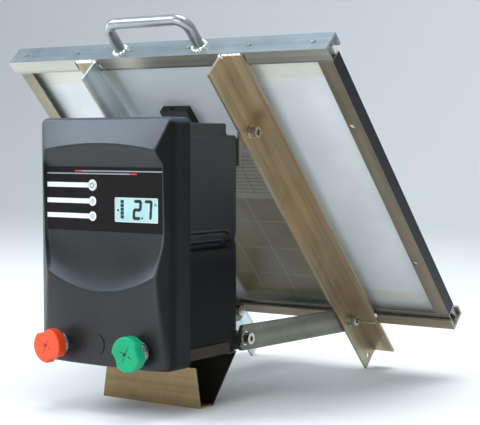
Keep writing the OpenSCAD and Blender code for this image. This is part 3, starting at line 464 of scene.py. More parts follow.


# The tan and golden hues given to the rolled steel and aluminium parts are a painted reflection of tan surroundings.
MATERIALS = {
    # The cover's tone for faces that look up is a painted sky reflection.
    "cover": moulded_plastic("cover_black", (0.0075, 0.0082, 0.0088), 0.36, 1.0, 0.34, shine=0.45,
                             sky_reflection_tone=(0.038, 0.056, 0.076)),
    # The housing is made darker below a height, with less reflection: painted shade.
    "housing": moulded_plastic("housing_black", (0.013, 0.0145, 0.0155), 0.30, 1.1, 0.08, shine=0.5,
                               low_shade_heights=(0.16, 0.27)),
    "trim": moulded_plastic("trim_black", (0.012, 0.012, 0.014), 0.42, 0.8, 0.05, shine=0.4),
    "red": moulded_plastic("knob_red", (0.84, 0.070, 0.010), 0.38, 1.2, 0.04, 0.10),
    "green": moulded_plastic("knob_green", (0.001, 0.34, 0.155), 0.36, 1.2, 0.04, 0.10, shine=0.3),
    "white": moulded_plastic("lens_white", (0.70, 0.72, 0.76), 0.3, 1.2, 0.01, 0.05),
    "rubber": moulded_plastic("seal_rubber", (0.015, 0.015, 0.015), 0.7, 0.6, 0.05),
    "board": moulded_plastic("board_green", (0.02, 0.16, 0.08), 0.4, 1.5, 0.02),
    "sleeve": moulded_plastic("sleeve_blue", (0.03, 0.08, 0.25), 0.25, 3.0, 0.02),
    "battery": moulded_plastic("battery_grey", (0.08, 0.085, 0.09), 0.45, 1.0, 0.05),
    "lamp": moulded_plastic("lamp_red", (0.6, 0.05, 0.04), 0.2, 3.0, 0.01, 0.1),
    "foot": foot_metal(),
    # The tray is the foot's steel made far darker: painted shade under the case.
    "foot_shaded": rolled_metal("tray_steel_shaded", (0.06, 0.047, 0.028), (0.03, 0.023, 0.014), 0.45, "x"),
    # The two rails are one steel: the right rail's tan and the left rail's near-white are painted reflection, and
    # their tones for faces that look down are painted light and shade.
    "right_rail": rolled_metal("right_rail_steel", (0.60, 0.50, 0.34), (0.40, 0.33, 0.22), 0.33, "y", TILT,
                               tint=(0.50, 0.30, 0.14), under=(0.62, 0.50, 0.34)),
    "left_rail": rolled_metal("left_rail_steel", (0.95, 1.0, 1.0), (0.80, 0.90, 0.93), 0.33, "y", TILT,
                              under=(0.40, 0.32, 0.20)),
    "stay": rolled_metal("stay_steel", (0.26, 0.255, 0.20), (0.17, 0.165, 0.13), 0.36, "y"),
    "bracket": rolled_metal("bracket_steel", (0.42, 0.39, 0.32), (0.32, 0.30, 0.24), 0.35, "z"),
    # The channels' tones for faces that look down are painted light and shade.
    "channel": rolled_metal("channel_aluminium", (0.38, 0.44, 0.47), (0.27, 0.32, 0.35), 0.34, "x",
                            streak=0.25, under=(0.54, 0.51, 0.44)),
    "low_channel": rolled_metal("low_channel_aluminium", (0.46, 0.44, 0.39), (0.34, 0.32, 0.27), 0.34, "x",
                                streak=0.25, under=(0.38, 0.30, 0.20)),
    "frame_x": rolled_metal("frame_aluminium", (0.42, 0.40, 0.34), (0.34, 0.32, 0.26), 0.34, "x"),
    "left_frame": rolled_metal("left_frame_aluminium", (0.32, 0.28, 0.20), (0.24, 0.205, 0.14), 0.36, "y", TILT),
    # The right frame's outer tone is a painted shade on its outward side wall.
    "right_frame": rolled_metal("right_frame_aluminium", (0.44, 0.37, 0.27), (0.33, 0.27, 0.19), 0.36, "y", TILT,
                                outer=(0.010, 0.013, 0.018)),
    "handle": rolled_metal("handle_aluminium", (0.40, 0.43, 0.44), (0.26, 0.29, 0.30), 0.30, "x", streak=0.15),
    "bolt": plated("bolt_bright", (0.58, 0.56, 0.51), 0.24),
    "washer": plated("washer_bright", (0.70, 0.70, 0.69), 0.14),
    "weld": plated("weld_bright", (0.86, 0.84, 0.78), 0.24),
    "brass": plated("brass_turned", (0.75, 0.55, 0.25), 0.28),
    "core": plated("core_laminations", (0.30, 0.30, 0.32), 0.45),
    "copper": plated("winding_copper", (0.70, 0.32, 0.14), 0.35),
    "overlay": film("overlay_black", (0.0055, 0.0036, 0.004), 0.42),
    "red_dark": printed("knob_red_shadow", (0.42, 0.012, 0.008)),
    "green_dark": printed("knob_green_shadow", (0.004, 0.05, 0.03)),
    "ink_white": printed("ink_white", (0.76, 0.77, 0.78)),
    "ink_red": printed("ink_red", (0.75, 0.03, 0.04)),
    "ink_grey": printed("ink_grey", (0.30, 0.31, 0.33)),
    "ink_dark": printed("ink_dark", (0.012, 0.014, 0.016), 0.3),
    "label": printed("label_paper", (0.34, 0.32, 0.25), 0.5),
    "label_ink": printed("label_ink", (0.06, 0.055, 0.045), 0.5),
    "label_head": printed("label_head_blue", (0.30, 0.38, 0.42), 0.5),
    "display": display_glass(),
    "backsheet": back_film(),
    "glass": clear_glass(),
    "cells": silicon(),
}

NODE_MATERIALS = {
    "trim": ["blanking_plug", "panel_socket", "junction_box", "power_switch"],
    "cover": ["front_cover"],
    "housing": ["rear_housing"],
    "rubber": ["cover_gasket", "battery_pad"],
    "red": ["red_knob"],
    "green": ["green_knob"],
    "white": ["indicator_lenses", "power_button"],
    "lamp": ["status_leds"],
    "board": ["display_module", "control_board", "output_board"],
    "sleeve": ["storage_capacitors"],
    "battery": ["battery"],
    "core": ["transformer_core"],
    "copper": ["transformer_winding"],
    "brass": ["red_knob_insert", "green_knob_insert"],
    "bolt": ["cover_screws", "control_board_screws", "terminal_nuts", "tray_screws", "foot_screws",
             "pivot_bracket_screws", "pivot_bolts", "pivot_nuts", "stay_bracket_rivets",
             "stay_front_bolts", "stay_front_nuts", "left_stay_nut", "right_stay_nut",
             "stay_rail_bolts", "channel_rivets"],
    "washer": ["terminal_studs", "terminal_washers"],
    "weld": ["weld_beads"],
    "foot": ["foot_bracket"],
    "foot_shaded": ["tray"],
    "bracket": ["pivot_brackets", "stay_brackets"],
    "stay": ["left_stay", "right_stay"],
    "left_rail": ["left_rail"],
    "right_rail": ["right_rail"],
    "channel": ["top_channel"],
    "low_channel": ["bottom_channel"],
    "handle": ["carry_handle"],
    "frame_x": ["frame_top", "frame_bottom"],
    "left_frame": ["frame_left"],
    "right_frame": ["frame_right"],
    "overlay": ["fascia_overlay"],
    "display": ["display_window"],
    "backsheet": ["backsheet"],
    "glass": ["solar_glass"],
    "cells": ["solar_cells"],
}


def paint(obj, material):
    obj.data.materials.clear()
    obj.data.materials.append(material)


for key, names in NODE_MATERIALS.items():
    for name in names:
        paint(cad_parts[name], MATERIALS[key])


# ---------- mesh helpers ----------

def mesh_object(name, vertices, faces, body, material, smooth=False, slot=None):
    """A new piece from vertices in millimetres."""
    mesh = bpy.data.meshes.new(name)
    mesh.from_pydata([Vector(v) * MM for v in vertices], [], faces)
    mesh.update()
    obj = bpy.data.objects.new(name, mesh)
    bpy.context.scene.collection.objects.link(obj)
    tidy = bmesh.new()
    tidy.from_mesh(mesh)
    bmesh.ops.remove_doubles(tidy, verts=tidy.verts, dist=0.00001)
    bmesh.ops.recalc_face_normals(tidy, faces=tidy.faces)
    tidy.to_mesh(mesh)
    tidy.free()
    for polygon in mesh.polygons:
        polygon.use_smooth = smooth
    paint(obj, material)
    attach(obj, body)
    return obj


def merge(parts):
    """Joins (vertices, faces) parts into one list pair."""
    vertices, faces = [], []
    for part_vertices, part_faces in parts:
        start = len(vertices)
        vertices += part_vertices
        faces += [[start + i for i in face] for face in part_faces]
    return vertices, faces


def loft(first, second):
    """A closed solid between two loops with equally many points."""
    count = len(first)
    faces = [list(range(count)), list(range(2 * count - 1, count - 1, -1))]
    return first + second, faces + wrap_faces(1, count)


def wrap_faces(rows, steps):
    """Quads between rows of points, each row closed on itself."""
    return [[row * steps + k, row * steps + (k + 1) % steps, (row + 1) * steps + (k + 1) % steps,
             (row + 1) * steps + k] for row in range(rows) for k in range(steps)]


def circle(across, up, radius, steps):
    """Points round a circle, as (across, up) pairs."""
    turns = [2 * math.pi * k / steps for k in range(steps)]
    return [(across + radius * math.cos(a), up + radius * math.sin(a)) for a in turns]


def prism(outline, y_front, y_back):
    """Flat outline of (x, z) points given a thickness along y."""
    return loft([(x, y_front, z) for x, z in outline], [(x, y_back, z) for x, z in outline])


def bar(x0, x1, z0, z1, y_front, y_back):
    return prism([(x0, z0), (x1, z0), (x1, z1), (x0, z1)], y_front, y_back)


def stroke(points, width, y_front, y_back):
    """A line of straight strokes with the given width, in the xz plane."""
    parts = []
    for (xa, za), (xb, zb) in zip(points, points[1:]):
        length = math.hypot(xb - xa, zb - za)
        nx, nz = -(zb - za) / length * width / 2, (xb - xa) / length * width / 2
        parts.append(prism([(xa + nx, za + nz), (xb + nx, zb + nz), (xb - nx, zb - nz), (xa - nx, za - nz)],
                           y_front, y_back))
    return merge(parts)


def ring(cx, cz, outer, inner, y_front, y_back, start=0.0, end=360.0, steps=40):
    """A flat ring, or part of one, facing -y."""
    parts = []
    for k in range(steps):
        a = math.radians(start + (end - start) * k / steps)
        b = math.radians(start + (end - start) * (k + 1) / steps)
        corners = [(inner, a), (outer, a), (outer, b), (inner, b)]
        outline = [(cx + r * math.cos(turn), cz + r * math.sin(turn)) for r, turn in corners]
        parts.append(prism(outline, y_front, y_back))
    return merge(parts)


def disc(cx, cz, radius, y_front, y_back, steps=40):
    return prism(circle(cx, cz, radius, steps), y_front, y_back)


def soft_edges(obj, width_mm, segments=2, angle=35):
    """Rounds an object's sharp edges a little, so that they catch the light."""
    bevel = obj.modifiers.new("soft_edges", "BEVEL")
    bevel.width = width_mm * MM
    bevel.segments = segments
    bevel.limit_method = "ANGLE"
    bevel.angle_limit = math.radians(angle)
    bevel.use_clamp_overlap = True
    return obj


# ---------- front cover ----------

def smooth_max(a, b, soft):
    """The larger of two values with a rounded change-over."""
    h = max(soft - abs(a - b), 0) / soft
    return max(a, b) + h * h * soft / 4


def smooth_step(t):
    t = min(1, max(0, t))
    return t * t * (3 - 2 * t)


BROW_EDGE_Z = TOP - 27.7
BROW_DROP = 7.5
BROW_TOP_Z = TOP - 3.2
BROW_HALF = 76
FASCIA_TOP = OVERLAY_HI.z + 1.2
BOWL_TOP = FASCIA_TOP - 70.5
BOWL_EDGE_Z = BOTTOM + 78.2
BOWL_RISE = 20.5
BOWL_HALF = 74
RECESS_HALF = OVERLAY_HI.x + 0.5
SIDE_LAND_Y = FASCIA_Y + 3
CORNER_R = 8.5
EDGE_R = 3.0
RIM_LIP = 2.2
LENS_SIDE = 10.5
FASCIA_OPENINGS = [(LENS_LO.z, LENS_LO.z + LENS_SIDE), (LENS_HI.z - LENS_SIDE, LENS_HI.z),
                   (BUTTON_LO.z, BUTTON_HI.z)]


def brow_edge(x):
    """Height of the brow's arched lower edge."""
    t = min(1, abs(x) / BROW_HALF)
    return BROW_EDGE_Z - BROW_DROP * t * t


def bowl_edge(x):
    """Height of the bowl's lower edge."""
    t = min(1, abs(x) / BOWL_HALF)
    return BOWL_EDGE_Z + BOWL_RISE * t * t


def recess_side(z):
    """Half-width of the recess at a height."""
    if z > FASCIA_TOP:
        t = smooth_step((z - FASCIA_TOP) / (brow_edge(BROW_HALF) - FASCIA_TOP))
        return RECESS_HALF - (RECESS_HALF - BROW_HALF) * t
    if z < BOWL_TOP:
        t = smooth_step((BOWL_TOP - z) / (BOWL_TOP - bowl_edge(BOWL_HALF)))
        return RECESS_HALF - (RECESS_HALF - BOWL_HALF) * t
    return RECESS_HALF


def outer_face(x, z):
    """Depth of the cover's outer face: brow, apron and side facets."""
    side = abs(x)
    brow = BROW_Y + (z - brow_edge(x)) * (FASCIA_Y + 1 - BROW_Y) / (BROW_TOP_Z - brow_edge(x))
    brow = max(BROW_Y, brow)
    fall = min(1, max(0, (bowl_edge(BOWL_HALF) - z) / (bowl_edge(BOWL_HALF) - BOTTOM)))
    apron = APRON_Y + 11 * fall * (side / COVER_HW) ** 4
    up = smooth_step((z - BOWL_TOP) / (FASCIA_TOP - BOWL_TOP))
    front = apron + (brow - apron) * up
    low_facet = APRON_Y + (side - BOWL_HALF) * (SIDE_LAND_Y - APRON_Y) / (COVER_HW - BOWL_HALF)
    high_facet = BROW_Y + (side - BROW_HALF) * (SIDE_LAND_Y - BROW_Y) / (COVER_HW - BROW_HALF)
    return smooth_max(front, low_facet + (high_facet - low_facet) * up, 1.6)


def recess_face(x, z):
    """Depth of the recess: slope under the brow, flat fascia, then the bowl."""
    if z > FASCIA_TOP:
        t = (z - FASCIA_TOP) / max(1, brow_edge(x) - FASCIA_TOP)
        return FASCIA_Y + (BROW_Y - FASCIA_Y) * min(1, t)
    if z < BOWL_TOP:
        t = min(1, (BOWL_TOP - z) / (BOWL_TOP - bowl_edge(x)))
        return FASCIA_Y + (outer_face(x, bowl_edge(x)) - FASCIA_Y) * t ** 2.6
    return FASCIA_Y


def outline_half(z):
    """Half-width of the cover's rounded outline at a height."""
    edge = min(z - BOTTOM, TOP - z)
    if edge >= CORNER_R:
        return COVER_HW
    return COVER_HW - CORNER_R + math.sqrt(max(0, CORNER_R ** 2 - (CORNER_R - edge) ** 2))


def border_distance(x, z):
    """Distance from a point to the cover's rounded outline, measured inwards."""
    dx = COVER_HW - abs(x)
    dz = min(z - BOTTOM, TOP - z)
    if dx < CORNER_R and dz < CORNER_R:
        return CORNER_R - math.hypot(CORNER_R - dx, CORNER_R - dz)
    return min(dx, dz)


def cover_depth(x, z):
    """Depth of the cover's face at a point, with its rounded border."""
    outside = outer_face(x, z)
    depth = outside
    if bowl_edge(x) < z < brow_edge(x):
        inside = recess_face(x, z)
        wall = smooth_step((recess_side(z) + 1.3 - abs(x)) / 3.4)
        depth = outside + (max(inside, outside) - outside) * wall
    edge = max(0, border_distance(x, z))
    if edge < EDGE_R:
        depth += EDGE_R - math.sqrt(EDGE_R ** 2 - (EDGE_R - edge) ** 2)
    return depth


def spread(low, high, count):
    return [low + (high - low) * k / count for k in range(count)]


def cover_rows():
    """Row heights as functions of x, so that rows follow the brow's and the bowl's edges."""
    rows = []

    def between(low, high, count):
        for t in spread(0, 1, count):
            rows.append(lambda x, t=t, low=low, high=high: low(x) + (high(x) - low(x)) * t)

    def flat(z):
        return lambda x: z

    between(flat(BOTTOM), flat(BOTTOM + CORNER_R), 12)
    between(flat(BOTTOM + CORNER_R), bowl_edge, 34)
    between(bowl_edge, flat(BOWL_TOP), 30)
    stops = [BOWL_TOP]
    for low, high in [(WINDOW_LO.z, WINDOW_HI.z)] + FASCIA_OPENINGS:
        stops += [low, high]
    stops = sorted(stops + [FASCIA_TOP])
    for low, high in zip(stops, stops[1:]):
        between(flat(low), flat(high), max(1, round((high - low) / 3)))
    between(flat(FASCIA_TOP), brow_edge, 14)
    between(brow_edge, flat(TOP - CORNER_R), 14)
    between(flat(TOP - CORNER_R), flat(TOP), 14)
    rows.append(flat(TOP))
    return rows


def cover_columns():
    """Column places across the recess's half-width at its widest, and steps outside it."""
    stops = sorted([-RECESS_HALF, RECESS_HALF, 0, WINDOW_LO.x, WINDOW_HI.x, LENS_LO.x, LENS_HI.x])
    inner = []
    for low, high in zip(stops, stops[1:]):
        inner += spread(low, high, max(1, round((high - low) / 2.2)))
    inner.append(RECESS_HALF)
    outer = [k / 10 for k in range(1, 11)]
    return inner, outer


def build_cover():
    """The sculpted front shell: a face grid, side walls to the rim, and an inner skin."""
    rows = cover_rows()
    inner, outer = cover_columns()
    vertices, grid = [], []
    for row in rows:
        line = []
        z_mid = row(0.9 * COVER_HW)
        half = outline_half(z_mid)
        side = min(recess_side(z_mid), half - 2)
        xs = [-side - (half - side) * t for t in reversed(outer)]
        xs += [x * side / RECESS_HALF for x in inner]
        xs += [side + (half - side) * t for t in outer]
        for x in xs:
            z = row(x)
            line.append(len(vertices))
            vertices.append((x, cover_depth(x, z), z))
        grid.append(line)
    holes = [(WINDOW_LO.x, WINDOW_HI.x, WINDOW_LO.z, WINDOW_HI.z)]
    holes += [(LENS_LO.x, LENS_HI.x, low, high) for low, high in FASCIA_OPENINGS]
    faces = []
    for lower, upper in zip(grid, grid[1:]):
        for k in range(len(lower) - 1):
            quad = [lower[k], lower[k + 1], upper[k + 1], upper[k]]
            cx = sum(vertices[i][0] for i in quad) / 4
            cz = sum(vertices[i][2] for i in quad) / 4
            if not any(x0 < cx < x1 and z0 < cz < z1 for x0, x1, z0, z1 in holes):
                faces.append(quad)
    border = grid[0] + [line[-1] for line in grid[1:]] + grid[-1][-2::-1] + [line[0] for line in grid[-2:0:-1]]
    levels = [SIDE_LAND_Y + 8, RIM_Y - 6, RIM_Y - RIM_LIP - 0.7, RIM_Y - RIM_LIP]
    groove = [(RIM_Y - RIM_LIP, 0.7), (RIM_Y - RIM_LIP + 0.5, 0.7), (RIM_Y - RIM_LIP + 0.5, 0.0), (RIM_Y - 0.3, 0.0),
              (RIM_Y, 0.3)]
    previous = border
    for y, inset in [(level, 0.0) for level in levels] + groove:
        current = []
        for index in border:
            x, _, z = vertices[index]
            current.append(len(vertices))
            vertices.append((x * (1 - inset / COVER_HW), y, z + (inset if z < (TOP + BOTTOM) / 2 else -inset)))
        count = len(border)
        faces += [[previous[k], previous[(k + 1) % count], current[(k + 1) % count], current[k]]
                  for k in range(count)]
        previous = current
    obj = mesh_object("cover_shell", vertices, faces, "energizer", MATERIALS["cover"], True, "case_plastic")
    shell = obj.modifiers.new("wall", "SOLIDIFY")
    shell.thickness = 2.4 * MM
    shell.offset = -1
    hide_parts("front_cover")


build_cover()


# ---------- fascia print ----------

PRINT_Y = OVERLAY_LO.y
INK = 0.12
DISC_Z = [(BUTTON_LO.z + BUTTON_HI.z) / 2, LENS_HI.z - LENS_SIDE / 2, LENS_LO.z + LENS_SIDE / 2]
DISC_X = (LENS_LO.x + LENS_HI.x) / 2


def on_fascia(name, part, ink, slot="fascia_film"):
    return mesh_object(name, *part, "energizer", MATERIALS[ink], False, slot)


def fascia_print():
    front, back = PRINT_Y - INK, PRINT_Y
    left, right, top = OVERLAY_LO.x, OVERLAY_HI.x, OVERLAY_HI.z
    bars = [bar(left + 0.4, DISC_X - 4.6, z - 2.6, z + 2.6, front, back) for z in DISC_Z]
    on_fascia("indicator_bars", merge(bars), "ink_white")
    lines = [bar(left + 50, right - 0.3, top - 4.8, top - 3.5, front, back),
             bar(left + 0.4, right - 44.5, top - 7.6, top - 6.3, front, back)]
    on_fascia("fascia_lines", merge(lines), "ink_grey")
    dashes = [bar(left + 41, left + 50, top - 4.8, top - 3.5, front, back),
              bar(right - 44.5, right - 35, top - 7.6, top - 6.3, front, back)]
    on_fascia("fascia_dashes", merge(dashes), "ink_red")
    rings = [ring(DISC_X, DISC_Z[0], 6.0, 4.55, front, back)]
    rings += [ring(DISC_X, z, 5.1, 4.3, front, back) for z in DISC_Z[1:]]
    on_fascia("indicator_rings", merge(rings), "ink_white")
    rims = [ring(DISC_X, z, 2.6, 2.1, LENS_LO.y - 0.1, LENS_LO.y) for z in DISC_Z[1:]]
    on_fascia("indicator_rims", merge(rims), "ink_grey", "white_plastic")
    lights = [disc(DISC_X, z, 2.1, LENS_LO.y - 0.08, LENS_LO.y) for z in DISC_Z[1:]]
    on_fascia("indicator_lights", merge(lights), "display", "white_plastic")
    frame_bars = [bar(WINDOW_LO.x + 0.2, WINDOW_HI.x - 0.2, z, z + 0.8, WINDOW_LO.y - 0.1, WINDOW_LO.y)
                  for z in (WINDOW_LO.z + 0.2, WINDOW_HI.z - 1.0)]
    frame_bars += [bar(x, x + 0.8, WINDOW_LO.z + 0.2, WINDOW_HI.z - 0.2, WINDOW_LO.y - 0.1, WINDOW_LO.y)
                   for x in (WINDOW_LO.x + 0.2, WINDOW_HI.x - 1.0)]
    on_fascia("display_border", merge(frame_bars), "ink_white", "display_glass")


def power_symbol():
    y_front = BUTTON_LO.y - 0.1
    z = DISC_Z[0]
    parts = [ring(DISC_X, z, 3.0, 2.1, y_front, BUTTON_LO.y, 125, 415),
             bar(DISC_X - 0.45, DISC_X + 0.45, z + 0.4, z + 3.4, y_front, BUTTON_LO.y)]
    mesh_object("power_symbol", *merge(parts), "power_button", MATERIALS["ink_dark"], False, "fascia_film")


SEGMENTS = {"2": "abged", "7": "abc"}


def digit(mark, x, z, width, height, thick, y_front, y_back):
    """A slanted seven-segment digit standing at x, z."""
    mid = height / 2
    ends = {"a": (0, height, width, height), "b": (width, mid, width, height), "c": (width, 0, width, mid),
            "d": (0, 0, width, 0), "e": (0, 0, 0, mid), "f": (0, mid, 0, height), "g": (0, mid, width, mid)}
    parts = []
    for key in SEGMENTS[mark]:
        xa, za, xb, zb = ends[key]
        length = math.hypot(xb - xa, zb - za)
        ux, uz = (xb - xa) / length, (zb - za) / length
        gap = thick * 0.06
        half = thick / 2
        a = (xa - ux * (half * 0.75 - gap), za - uz * (half * 0.75 - gap))
        b = (xb + ux * (half * 0.75 - gap), zb + uz * (half * 0.75 - gap))
        outline = [a, (a[0] + ux * half - uz * half, a[1] + uz * half + ux * half),
                   (b[0] - ux * half - uz * half, b[1] - uz * half + ux * half), b,
                   (b[0] - ux * half + uz * half, b[1] - uz * half - ux * half),
                   (a[0] + ux * half + uz * half, a[1] + uz * half - ux * half)]
        outline = [(x + px + 0.08 * pz, z + pz) for px, pz in outline]
        parts.append(prism(outline, y_front, y_back))
    return merge(parts)


def display_marks():
    y_back = WINDOW_LO.y
    y_front = y_back - 0.1
    width, height = WINDOW_HI.x - WINDOW_LO.x, WINDOW_HI.z - WINDOW_LO.z
    x0, z0 = WINDOW_LO.x, WINDOW_LO.z
    base = z0 + height * 0.17
    parts = [digit("2", x0 + width * 0.44, base, 8.2, 17.8, 3.3, y_front, y_back),
             digit("7", x0 + width * 0.68, base, 8.2, 17.8, 3.3, y_front, y_back),
             disc(x0 + width * 0.635, base + 0.4, 1.2, y_front, y_back)]
    parts += [bar(x0 + 8, x0 + 12.4, base - 0.6 + 4.0 * k, base + 2.9 + 4.0 * k, y_front, y_back) for k in range(5)]
    parts += [disc(x0 + 4.6, base + 8, 1.3, y_front, y_back),
              stroke([(x0 + width - 5.5, base + 13), (x0 + width - 3.5, base + 16), (x0 + width - 1.9, base + 13)],
                     0.7, y_front, y_back)]
    on_fascia("display_digits", merge(parts), "ink_dark", "display_glass")


def terminal_symbols():
    """A zigzag by the fence terminal and an earth sign by the earth terminal, lightly raised."""
    zx, zz = -6, BOTTOM + 50
    y = cover_depth(zx, zz)
    bolt = stroke([(zx + 1.5, zz + 5), (zx - 2, zz), (zx + 1.2, zz), (zx - 1.8, zz - 5)], 0.9, y - 0.25, y + 0.3)
    ex, ez = GREEN_HI.x - 18.5, BOTTOM + 52
    y = cover_depth(ex, ez)
    earth = [stroke([(ex, ez + 5), (ex, ez)], 0.8, y - 0.25, y + 0.3)]
    earth += [stroke([(ex - w, ez - 1.8 * k), (ex + w, ez - 1.8 * k)], 0.8, y - 0.25, y + 0.3)
              for k, w in enumerate((4, 2.6, 1.2))]
    mesh_object("zigzag_symbol", *bolt, "energizer", MATERIALS["trim"], False, "case_plastic")
    mesh_object("earth_symbol", *merge(earth), "energizer", MATERIALS["trim"], False, "case_plastic")


fascia_print()
power_symbol()
display_marks()
terminal_symbols()


# ---------- rear housing ----------

def box_part(lo, hi):
    x0, y0, z0 = lo
    x1, y1, z1 = hi
    vertices = [(x, y, z) for x in (x0, x1) for y in (y0, y1) for z in (z0, z1)]
    faces = [[0, 1, 3, 2], [4, 6, 7, 5], [0, 4, 5, 1], [2, 3, 7, 6], [0, 2, 6, 4], [1, 5, 7, 3]]
    return vertices, faces


def rounded_block(half, y_front, y_back, z0, z1, radius):
    """Upright block about x = 0 whose two rear corners are rounded."""
    outline = [(-half, y_front)]
    for side, first in ((-1, 180), (1, 90)):
        for k in range(9):
            a = math.radians(first - 90 * k / 8)
            outline.append((side * (half - radius) + radius * math.cos(a), y_back - radius + radius * math.sin(a)))
    outline.append((half, y_front))
    return loft([(x, y, z0) for x, y in outline], [(x, y, z1) for x, y in outline])


def cylinder_x(y, z, radius, x0, x1, steps=48):
    outline = circle(y, z, radius, steps)
    return loft([(x0, py, pz) for py, pz in outline], [(x1, py, pz) for py, pz in outline])


def apply_modifiers(obj):
    """Turns an object's modifiers into its own mesh."""
    depsgraph = bpy.context.evaluated_depsgraph_get()
    made = bpy.data.meshes.new_from_object(obj.evaluated_get(depsgraph))
    obj.modifiers.clear()
    obj.data = made


def cut_away(obj, parts, name):
    """Cuts closed (vertices, faces) parts out of an object."""
    cutter = mesh_object(name, *merge(parts), "energizer", MATERIALS["housing"])
    cut = obj.modifiers.new(name, "BOOLEAN")
    cut.object = cutter
    cut.solver = "EXACT"
    cut.use_self = True
    bpy.context.view_layer.update()
    apply_modifiers(obj)
    bpy.data.objects.remove(cutter)


def build_housing():
    """The deep rear shell: rounded box with a raised top and a hand groove in each side."""
    lo, hi = HOUSING_LO, HOUSING_HI
    shoulder = TOP - 18.4
    raised_back = hi.y - 16.3
    half = hi.x
    obj = mesh_object("housing_shell", *rounded_block(half, lo.y, hi.y, lo.z, shoulder, 7),
                      "energizer", MATERIALS["housing"], False, "case_plastic")
    raised = mesh_object("raised_part", *rounded_block(half - 3, lo.y, raised_back, shoulder - 20, hi.z, 5),
                         "energizer", MATERIALS["housing"])
    join = obj.modifiers.new("raised", "BOOLEAN")
    join.operation = "UNION"
    join.object = raised
    bpy.context.view_layer.update()
    apply_modifiers(obj)
    bpy.data.objects.remove(raised)
    groove_z = BOTTOM + 131.2
    groove_r = 9
    groove_end = hi.y - 15 - groove_r
    depth = 5
    groove_start = lo.y + 6

    def both_sides(inner, outer):
        """Low and high x of what is cut between two half-widths, on the left and on the right."""
        return [(-outer, -inner), (inner, outer)]

    cut_away(obj, [box_part((x0, groove_start, groove_z - groove_r), (x1, groove_end, groove_z + groove_r))
                   for x0, x1 in both_sides(half - depth, half + 2)], "groove_cut")
    cut_away(obj, [box_part((x0, groove_start, groove_z - groove_r + 1), (x1, groove_end, groove_z - 1.5))
                   for x0, x1 in both_sides(half - depth - 2.5, half - depth + 1)], "groove_slot")
    cut_away(obj, [cylinder_x(groove_end, groove_z, groove_r - 0.01, x0, x1)
                   for x0, x1 in both_sides(half - depth, half + 2)], "groove_end_cut")
    cut_away(obj, [cylinder_x(hi.y - 1, groove_z, 5.5, x0, x1)
                   for x0, x1 in both_sides(half - 4, half + 2)], "notch_cut")
    even = obj.modifiers.new("even", "REMESH")
    even.mode = "VOXEL"
    even.voxel_size = 1.5 * MM
    soft = obj.modifiers.new("soft", "SMOOTH")
    soft.factor = 0.5
    soft.iterations = 6
    bpy.context.view_layer.update()
    apply_modifiers(obj)
    for polygon in obj.data.polygons:
        polygon.use_smooth = True
    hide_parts("rear_housing")


build_housing()


# ---------- knobs ----------

KNOB_Z = (RED_LO.z + RED_HI.z) / 2
KNOB_R = (RED_HI.z - RED_LO.z) / 2
STUD_R = 6.5
RED_X = STUD_LO.x + STUD_R
GREEN_X = STUD_HI.x - STUD_R


def knob_radius(angle, radius, turn):
    """Outline radius of a round knob with two shallow scallops, at an angle in degrees."""
    best = radius
    for lobe in (turn, turn + 188):
        a = math.radians(angle - lobe)
        centre, scallop = radius * 1.9, radius * 1.1
        under = scallop ** 2 - (centre * math.sin(a)) ** 2
        if under > 0 and math.cos(a) > 0:
            best = min(best, centre * math.cos(a) - math.sqrt(under))
    return best


def build_knob(name, x_centre, turn, body, material, slot, replaced, y_front, y_back):
    """A scalloped knob with rounded rims, a sunk centre, and a cross of dimples drawn as dark discs of painted shade.
    """
    radius = KNOB_R
    steps = 180
    profile = [(7.2, 0, y_back), (0.6, 1, y_back), (0.15, 1, y_back - 0.3), (0, 1, y_back - 0.9)]
    rim = 2.0
    profile += [(rim * (1 - math.cos(math.radians(a))), 1, y_front + rim * (1 - math.sin(math.radians(a))))
                for a in range(0, 91, 15)]
    profile += [(6.0, 1, y_front - 0.0), (1.7, 0, y_front), (1.4, 0, y_front + 0.3), (1.3, 0, y_front + 1.6)]
    vertices = []
    for inset, shaped, y in profile:
        for k in range(steps):
            angle = 360 * k / steps
            r = knob_radius(angle, radius, turn) - inset if shaped else inset
            a = math.radians(angle)
            vertices.append((x_centre + r * math.cos(a), y, KNOB_Z + r * math.sin(a)))
    faces = wrap_faces(len(profile) - 1, steps)
    last = (len(profile) - 1) * steps
    faces.append([last + k for k in range(steps)])
    faces.append([k for k in reversed(range(steps))])
    obj = mesh_object(name, vertices, faces, body, MATERIALS[material], True, slot)
    obj.data.set_sharp_from_angle(angle=math.radians(38))
    # The dimples are dark discs, and the arc round the sunk centre a dark ring: painted shade in the holes.
    dimples = []
    for arm in range(4):
        a = math.radians(66 + 90 * arm)
        for step, size in ((5.2, 1.15), (8.1, 0.8)):
            dimples.append(disc(x_centre + step * math.cos(a), KNOB_Z + step * math.sin(a), size,
                                y_front - 0.04, y_front + 0.3, 16))
    dimples.append(ring(x_centre, KNOB_Z, 3.0, 1.5, y_front - 0.04, y_front + 0.3, 30, 250, 24))
    mesh_object(name + "_dimples", *merge(dimples), body, MATERIALS[material + "_dark"], False, slot)
    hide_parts(replaced)


build_knob("red_terminal_knob", RED_X, 110, "red_knob", "red", "red_plastic", "red_knob", RED_LO.y, RED_HI.y)
build_knob("green_terminal_knob", GREEN_X, 17, "green_knob", "green", "green_plastic", "green_knob", GREEN_LO.y,
           GREEN_HI.y)


def thread(name, x_centre, z_centre, y0, y1, radius):
    """Thread crests on a terminal stud, as one ribbed sleeve."""
    pitch, steps = 1.25, 40
    rows = int((y1 - y0) / (pitch / 2))
    vertices = []
    for row in range(rows + 1):
        r = radius + (0.35 if row % 2 else -0.25)
        for k in range(steps):
            a = 2 * math.pi * k / steps
            vertices.append((x_centre + r * math.cos(a), y0 + row * pitch / 2, z_centre + r * math.sin(a)))
    mesh_object(name, vertices, wrap_faces(rows, steps), "energizer", MATERIALS["washer"], False,
                "bright_steel")


